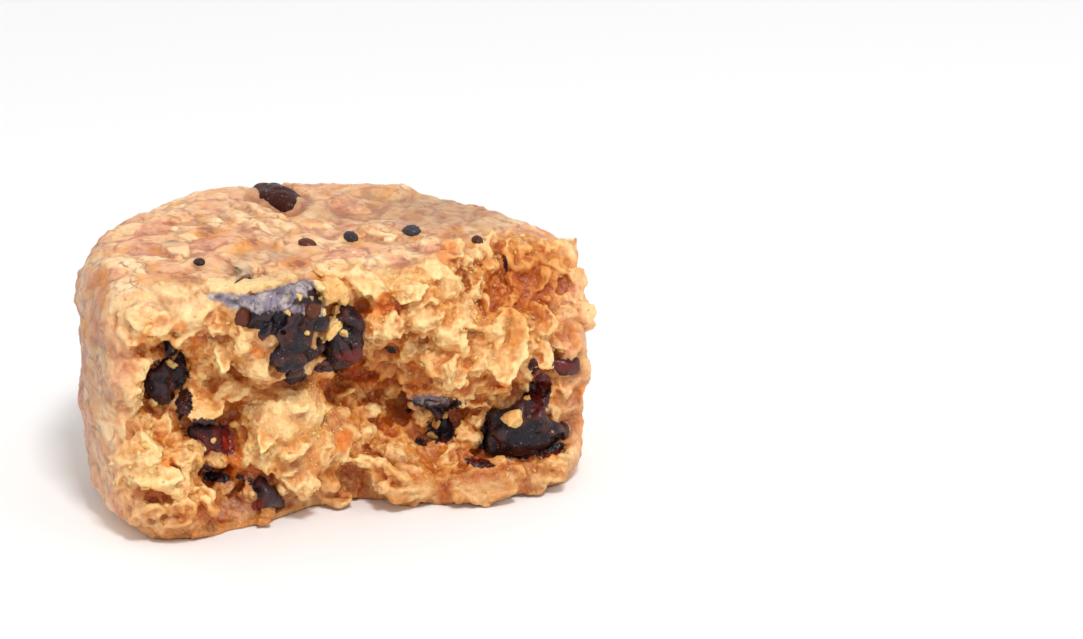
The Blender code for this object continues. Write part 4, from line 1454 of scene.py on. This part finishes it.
doughLook = {
    "crumbDark": screen(150, 84, 42),
    "crumbPink": screen(200, 126, 68),
    "crumbGold": screen(224, 150, 66),
    "crumbTan": screen(225, 161, 89),
    "crumbPale": screen(242, 191, 121),
    "crumbCool": screen(204, 166, 118),
    # palest cream: pale crumb, flake rims, and the painted highlight on raised crumb
    "crest": screen(252, 218, 156),
    "orange": screen(230, 130, 30),
    # painted shade: what the crumb colour is multiplied by, half way into a hollow and deep in it
    "halfDeep": (0.80, 0.55, 0.30),
    "deep": (0.62, 0.27, 0.08),
    "soaked": screen(132, 60, 26),
    "speck": screen(150, 78, 38),
    "crustPale": screen(255, 222, 174),
    "crustTan": screen(242, 192, 138),
    "crustPink": screen(232, 170, 132),
    "crustRed": screen(208, 138, 104),
    "crustBrown": screen(146, 80, 52),
    "base": screen(168, 100, 46),
    "honey": screen(230, 158, 76),
    "toast": screen(214, 130, 54),
    "shade": screen(152, 108, 82),
    "roughness": 0.38,
    "gloss": 0.45,
    "translucence": 0.45,
    "spread": (1.0, 0.5, 0.22),
    "spreadSize": 1.5 * mm,
}


def soften(shader):
    shader.inputs["Specular IOR Level"].default_value = doughLook["gloss"]
    shader.inputs["Subsurface Weight"].default_value = doughLook["translucence"]
    shader.inputs["Subsurface Radius"].default_value = doughLook["spread"]
    shader.inputs["Subsurface Scale"].default_value = doughLook["spreadSize"]


def doughMaterial(fineGrain, flesh, mosaic):
    material, nodes, links, shader = newMaterial("bakedOatDough")
    calc, mix, between, noisy = tied(nodes, links)
    look = doughLook
    formed = ("tint", "crust", "onFlake", "rim", "openness", "stain", "raised", "hump", "foot")
    read = {name: attribute(nodes, name) for name in (*formed, *marks)}

    coarse = noisy(3.2 * mm, 2.0)
    medium = noisy(1.3 * mm, 3.0, shift=0.3)
    small = noisy(0.55 * mm, 3.0, shift=0.7)
    tiny = noisy(0.24 * mm, 2.0, shift=0.9)
    grain = placeGroup(nodes, links, fineGrain, Scale=2400.0, Detail=3.0)
    ragged = calc("SUBTRACT", calc("ADD", calc("MULTIPLY", medium, 0.9), calc("MULTIPLY", small, 0.7)), 0.8)

    # crumb
    large = placeGroup(nodes, links, mosaic, Size=400.0, Wobble=1.6 * mm, Depth=0.6)
    scraps = placeGroup(nodes, links, mosaic, Size=1050.0, Wobble=1.2 * mm)
    granules = placeGroup(nodes, links, mosaic, Size=2500.0, Wobble=0.5 * mm)
    value = calc("MULTIPLY_ADD", read["tint"], 0.30, calc("MULTIPLY", coarse, 0.45))
    value = calc("MULTIPLY_ADD", scraps.outputs["Tint"], 0.20, value)
    value = calc("MULTIPLY_ADD", granules.outputs["Tint"], 0.14, value)
    value = calc("MULTIPLY_ADD", small, 0.4, value)
    value = calc("MULTIPLY_ADD", tiny, 0.3, value)
    value = calc("SUBTRACT", value, 0.43)
    crumbRamp = colourRamp(nodes, (
        (0.26, look["crumbPink"]), (0.42, look["crumbGold"]), (0.56, look["crumbTan"]),
        (0.70, look["crumbPale"]), (0.90, look["crest"]),
    ))
    links.new(value, crumbRamp.inputs["Fac"])
    cool = calc("MULTIPLY", between(noisy(2.7 * mm, 2.0, shift=3.3), 0.5, 0.66), 0.5)
    colour = mix(cool, crumbRamp.outputs["Color"], look["crumbCool"])
    # painted highlight: paler cream on raised bumps and broad humps, none near the foot
    crest = calc("MULTIPLY", between(read["raised"], 0.1, 1.0), 0.25)
    crest = calc("MULTIPLY_ADD", between(read["hump"], 0.1, 0.9), 0.5, crest)
    crest = calc("MULTIPLY", crest, calc("SUBTRACT", 1.0, read["foot"]), clamp=True)
    colour = mix(crest, colour, look["crest"])
    # darker brown near the table: toasted on the tray, and painted shade at the foot
    patch = between(calc("MULTIPLY_ADD", read["tint"], 0.3, medium), 0.42, 0.86)
    nearTable = calc("MULTIPLY", read["foot"], calc("MULTIPLY_ADD", patch, -0.5, 0.75))
    colour = mix(nearTable, colour, look["base"])
    colour = mix(calc("MULTIPLY", read["rim"], 0.45), colour, look["crest"])
    colour = mix(calc("MULTIPLY", read["pale"], 0.7, clamp=True), colour, look["crest"])
    clear = calc("MULTIPLY_ADD", read["orange"], 0.6, noisy(1.9 * mm, 1.5, shift=1.7))
    colour = mix(calc("MULTIPLY", between(clear, 0.62, 0.86), 0.8), colour, look["orange"])
    specks = between(noisy(0.8 * mm, 2.0, shift=2.9), 0.66, 0.74)
    colour = mix(calc("MULTIPLY", specks, 0.6), colour, look["speck"])
    # painted shade: the crumb gets darker and more orange-brown where it is closed in, in creases, in broad
    # gaps and in the marked hollows
    hidden = calc("SUBTRACT", 1.0, read["openness"], clamp=True)
    groove = between(calc("MULTIPLY", read["raised"], -1.0), 0.05, 0.9)
    gap = between(calc("MULTIPLY", read["hump"], -1.0), 0.1, 0.8)
    deep = calc("ADD", calc("MULTIPLY", between(hidden, 0.30, 0.95), 0.62), calc("MULTIPLY", groove, 0.18))
    deep = calc("MULTIPLY_ADD", gap, 0.32, deep)
    markedShade = calc("MULTIPLY", calc("MULTIPLY_ADD", ragged, 0.4, read["amber"]), 0.62, clamp=True)
    deep = calc("ADD", deep, markedShade, clamp=True)
    shadeRamp = colourRamp(nodes, ((0.0, (1, 1, 1)), (0.5, look["halfDeep"]), (1.0, look["deep"])))
    links.new(deep, shadeRamp.inputs["Fac"])
    crumbColour = mix(1.0, colour, shadeRamp.outputs["Color"], "MULTIPLY")

    # crust
    crustCoarse = noisy(2.8 * mm, 2.0, depth=0.55)
    crustMedium = noisy(1.2 * mm, 3.0, shift=0.3, depth=0.6)
    value = calc("MULTIPLY_ADD", read["tint"], 0.42, calc("MULTIPLY", crustCoarse, 0.5))
    value = calc("MULTIPLY_ADD", large.outputs["Tint"], 0.22, value)
    value = calc("MULTIPLY_ADD", crustMedium, 0.45, value)
    value = calc("MULTIPLY_ADD", small, 0.5, value)
    value = calc("MULTIPLY_ADD", scraps.outputs["Tint"], 0.12, value)
    value = calc("SUBTRACT", value, 0.6)
    crustRamp = colourRamp(nodes, (
        (0.18, look["crustRed"]), (0.36, look["crustPink"]),
        (0.54, look["crustTan"]), (0.80, look["crustPale"]),
    ))
    links.new(value, crustRamp.inputs["Fac"])
    line = calc("MULTIPLY", read["rim"], calc("MULTIPLY", crustMedium, 1.3))
    line = calc("MAXIMUM", line, calc("MULTIPLY", large.outputs["Line"], 0.75))
    colour = mix(line, crustRamp.outputs["Color"], look["crustBrown"])
    # painted shade: darker brown in the creases of the crust
    colour = mix(calc("MULTIPLY", groove, 0.45), colour, look["crustBrown"])
    toast = calc("MULTIPLY_ADD", read["toast"], 0.5, noisy(1.8 * mm, 3.0, shift=4.1, depth=0.6))
    colour = mix(calc("MULTIPLY", between(toast, 0.62, 0.9), 0.8), colour, look["toast"])
    burnt = calc("MULTIPLY_ADD", small, 0.6, toast)
    colour = mix(calc("MULTIPLY", between(burnt, 1.14, 1.36), 0.85), colour, look["crustBrown"])
    honey = between(noisy(2.5 * mm, 2.0, shift=6.1, depth=0.55), 0.52, 0.68)
    colour = mix(calc("MULTIPLY", honey, 0.6), colour, look["honey"])
    colour = mix(calc("MULTIPLY", specks, 0.6), colour, look["crustBrown"])
    # painted shade: grey-brown over the crust where the shade marks lie
    crustShadeMix = calc("MULTIPLY", calc("MULTIPLY_ADD", ragged, 0.5, read["shade"]), 0.7, clamp=True)
    crustColour = mix(crustShadeMix, colour, look["shade"])

    bakedShare = calc("MAXIMUM", read["crust"], calc("MULTIPLY", read["baked"], 0.8))
    colour = mix(bakedShare, crumbColour, crustColour)

    # fruit smeared over and soaked into the dough
    soaked = calc("MULTIPLY", calc("MULTIPLY_ADD", ragged, 1.6, read["stain"]), 0.45, clamp=True)
    soaked = calc("MULTIPLY", soaked, calc("SUBTRACT", 1.0, calc("MULTIPLY", read["cover"], 0.7), clamp=True))
    colour = mix(soaked, colour, look["soaked"])
    fleshColour = placeGroup(nodes, links, flesh, Wine=read["wine"], Raised=read["raised"]).outputs["Color"]
    smear = between(calc("ADD", read["flesh"], calc("MULTIPLY", ragged, 1.1)), 0.46, 0.60)
    colour = mix(smear, colour, fleshColour)
    dustMix = between(calc("ADD", read["dust"], calc("MULTIPLY", ragged, 0.9)), 0.28, 0.80)
    dustColour = mix(between(crustMedium, 0.45, 0.7), fruitLook["dust"], fruitLook["dustPale"])
    colour = mix(dustMix, colour, dustColour)
    links.new(colour, shader.inputs["Base Color"])

    rough = calc("MULTIPLY_ADD", grain.outputs["Mottle"], 0.25, look["roughness"] - 0.1)
    rough = calc("SUBTRACT", rough, calc("MULTIPLY", smear, 0.18))
    links.new(rough, shader.inputs["Roughness"])
    soften(shader)
    smooth = calc("MAXIMUM", calc("MULTIPLY", bakedShare, 0.85), calc("MULTIPLY", read["onFlake"], 0.7))
    onCrumb = calc("SUBTRACT", 1.0, smooth)
    height = calc("MULTIPLY", scraps.outputs["Height"], 0.5)
    height = calc("MULTIPLY_ADD", granules.outputs["Height"], 0.55, height)
    height = calc("MULTIPLY_ADD", height, onCrumb, calc("MULTIPLY", grain.outputs["Height"], 0.4))
    height = calc("MULTIPLY_ADD", large.outputs["Height"], 0.25, height)
    bumped(nodes, links, shader, height, 0.85, 0.28 * mm)
    return material


def bitMaterial(name, fineGrain, colours, rough, doughy=True):
    material, nodes, links, shader = newMaterial(name)
    calc, mix, between, noisy = tied(nodes, links)
    coarse = placeGroup(nodes, links, fineGrain, Scale=900.0, Detail=3.0)
    fine = placeGroup(nodes, links, fineGrain, Scale=3200.0, Detail=3.0)
    ramp = colourRamp(nodes, list(zip((0.1, 0.5, 0.95), colours)))
    value = calc("MULTIPLY_ADD", coarse.outputs["Mottle"], 0.7, attribute(nodes, "tint"))
    value = calc("MULTIPLY_ADD", attribute(nodes, "rim"), 0.5, value)
    value = calc("SUBTRACT", value, 0.6)
    links.new(value, ramp.inputs["Fac"])
    specks = between(noisy(0.7 * mm, 2.0, shift=2.9), 0.64, 0.74)
    specks = calc("MULTIPLY", specks, 0.5)
    colour = mix(specks, ramp.outputs["Color"], doughLook["speck"])
    links.new(colour, shader.inputs["Base Color"])
    shader.inputs["Roughness"].default_value = rough
    if doughy:
        soften(shader)
    else:
        shader.inputs["Specular IOR Level"].default_value = seedLook["gloss"]
    bumped(nodes, links, shader, fine.outputs["Height"], 0.5, 0.09 * mm)
    return material


def fruitMaterial(name, fineGrain, flesh, gloss, coat):
    material, nodes, links, shader = newMaterial(name)
    calc, mix, between, noisy = tied(nodes, links)
    skin, raised = attribute(nodes, "skin"), attribute(nodes, "raised")
    fine = placeGroup(nodes, links, fineGrain, Scale=2600.0, Detail=4.0)
    wine, warm = attribute(nodes, "wine"), attribute(nodes, "warm")
    body = placeGroup(nodes, links, flesh, Wine=wine, Raised=raised, Warm=warm).outputs["Color"]
    medium = noisy(1.3 * mm, 3.0, shift=0.3)
    dust = mix(between(medium, 0.45, 0.7), fruitLook["dust"], fruitLook["dustPale"])
    streak = between(noisy(0.7 * mm, 3.0, shift=8.4), 0.5, 0.7)
    dust = mix(calc("MULTIPLY", streak, 0.6), dust, fruitLook["black"])
    dusted = calc("MULTIPLY_ADD", medium, 0.9, skin)
    dusted = calc("MULTIPLY_ADD", noisy(0.5 * mm, 3.0, shift=1.1), 0.9, dusted)
    dusted = between(dusted, 1.18, 1.62)
    links.new(mix(dusted, body, dust), shader.inputs["Base Color"])
    rough = calc("MULTIPLY_ADD", dusted, 0.42, 0.08)
    rough = calc("MULTIPLY_ADD", fine.outputs["Mottle"], 0.22, rough)
    links.new(rough, shader.inputs["Roughness"])
    shader.inputs["Specular IOR Level"].default_value = gloss
    shader.inputs["Coat Weight"].default_value = coat
    shader.inputs["Coat Roughness"].default_value = 0.06
    height = calc("MULTIPLY_ADD", medium, 1.2, fine.outputs["Height"])
    bumped(nodes, links, shader, height, 0.85, 0.14 * mm)
    return material


seedLook = {
    "brown": screen(92, 46, 28),
    "dark": screen(46, 30, 28),
    "grey": screen(66, 64, 74),
    "gloss": 0.22,
}

studio = {
    "world": 0.72,
    "key": 3.0,
    "keySize": 0.13,
    "keyFrom": Vector((-0.02, -0.40, 0.62)),
    "fill": 0.25,
    "fillSize": 0.4,
    "fillFrom": Vector((0.45, -0.35, 0.35)),
}


def areaLight(name, power, size, place):
    light = bpy.data.lights.new(name, "AREA")
    light.energy = power
    light.size = size
    lamp = bpy.data.objects.new(name, light)
    lamp.location = place
    lamp.rotation_mode = "QUATERNION"
    lamp.rotation_quaternion = place.to_track_quat("Z", "Y")
    bpy.context.scene.collection.objects.link(lamp)


def makeStudio():
    scene = bpy.context.scene
    scene.view_settings.view_transform = "Standard"
    world = bpy.data.worlds.new("paleRoom")
    scene.world = world
    world.use_nodes = True
    background = world.node_tree.nodes["Background"]
    background.inputs["Color"].default_value = (1, 1, 1, 1)
    background.inputs["Strength"].default_value = studio["world"]
    areaLight("keyLight", studio["key"], studio["keySize"], studio["keyFrom"])
    areaLight("fillLight", studio["fill"], studio["fillSize"], studio["fillFrom"])
    bm = bmesh.new()
    bmesh.ops.create_grid(bm, x_segments=1, y_segments=1, size=3)
    floor = pieceFromBmesh("paleFloor", bm)
    material, _, _, shader = newMaterial("paleFloor")
    shader.inputs["Base Color"].default_value = (0.93, 0.93, 0.93, 1)
    shader.inputs["Roughness"].default_value = 0.7
    setMaterial(floor, material)
    camera = bpy.data.cameras.new("camera")
    camera.sensor_width = photo["sensor"]
    camera.lens = photo["focalPixels"] / photo["width"] * photo["sensor"]
    camera.clip_start = 0.01
    holder = bpy.data.objects.new("camera", camera)
    looking = Matrix((camRight, camUp, camBack)).transposed()
    holder.matrix_world = Matrix.Translation(camPlace) @ looking.to_4x4()
    scene.collection.objects.link(holder)
    scene.camera = holder


def main():
    fineGrain = fineGrainGroup()
    flesh = fleshGroup()
    piece = makeDough()
    setMaterial(piece, doughMaterial(fineGrain, flesh, mosaicGroup()))
    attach(piece, "root")
    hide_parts("cookie_dough")

    moist = fruitMaterial("moistFruit", fineGrain, flesh, 0.18, 0.22)
    baked = fruitMaterial("bakedFruit", fineGrain, flesh, 0.07, 0.04)
    fruits = [makeFruit(number, node) for number, node in enumerate(fruitNodes)]
    for node, made in zip(fruitNodes, fruits):
        setMaterial(made, baked if node in inCrust else moist)
    print("fruit done")

    tree = treeOf([piece, *fruits])
    doughTree = treeOf([piece])
    crumbColours = [doughLook[name] for name in ("crumbDark", "crumbTan", "crumbPale")]
    grainColours = [doughLook[name] for name in ("crumbPink", "crumbPale", "crest")]
    seedColours = [seedLook[name] for name in ("brown", "dark", "grey")]
    crumbFinish = bitMaterial("tornCrumb", fineGrain, crumbColours, 0.5)
    grainFinish = bitMaterial("fineGrain", fineGrain, grainColours, 0.35)
    seedFinish = bitMaterial("roundSeed", fineGrain, seedColours, 0.26, doughy=False)
    made = (
        (makeChunks(tree), crumbFinish),
        (makeCrumbs(piece, doughTree), crumbFinish),
        (makeGrains(piece, doughTree), grainFinish),
        (makeSeeds(tree, doughTree), seedFinish),
    )
    for bit, finish in made:
        keepInside(bit, seed["proud"] * mm)
        setMaterial(bit, finish)
        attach(bit, "root")
        print(bit.name, len(bit.data.polygons), "faces")
    makeStudio()


main()
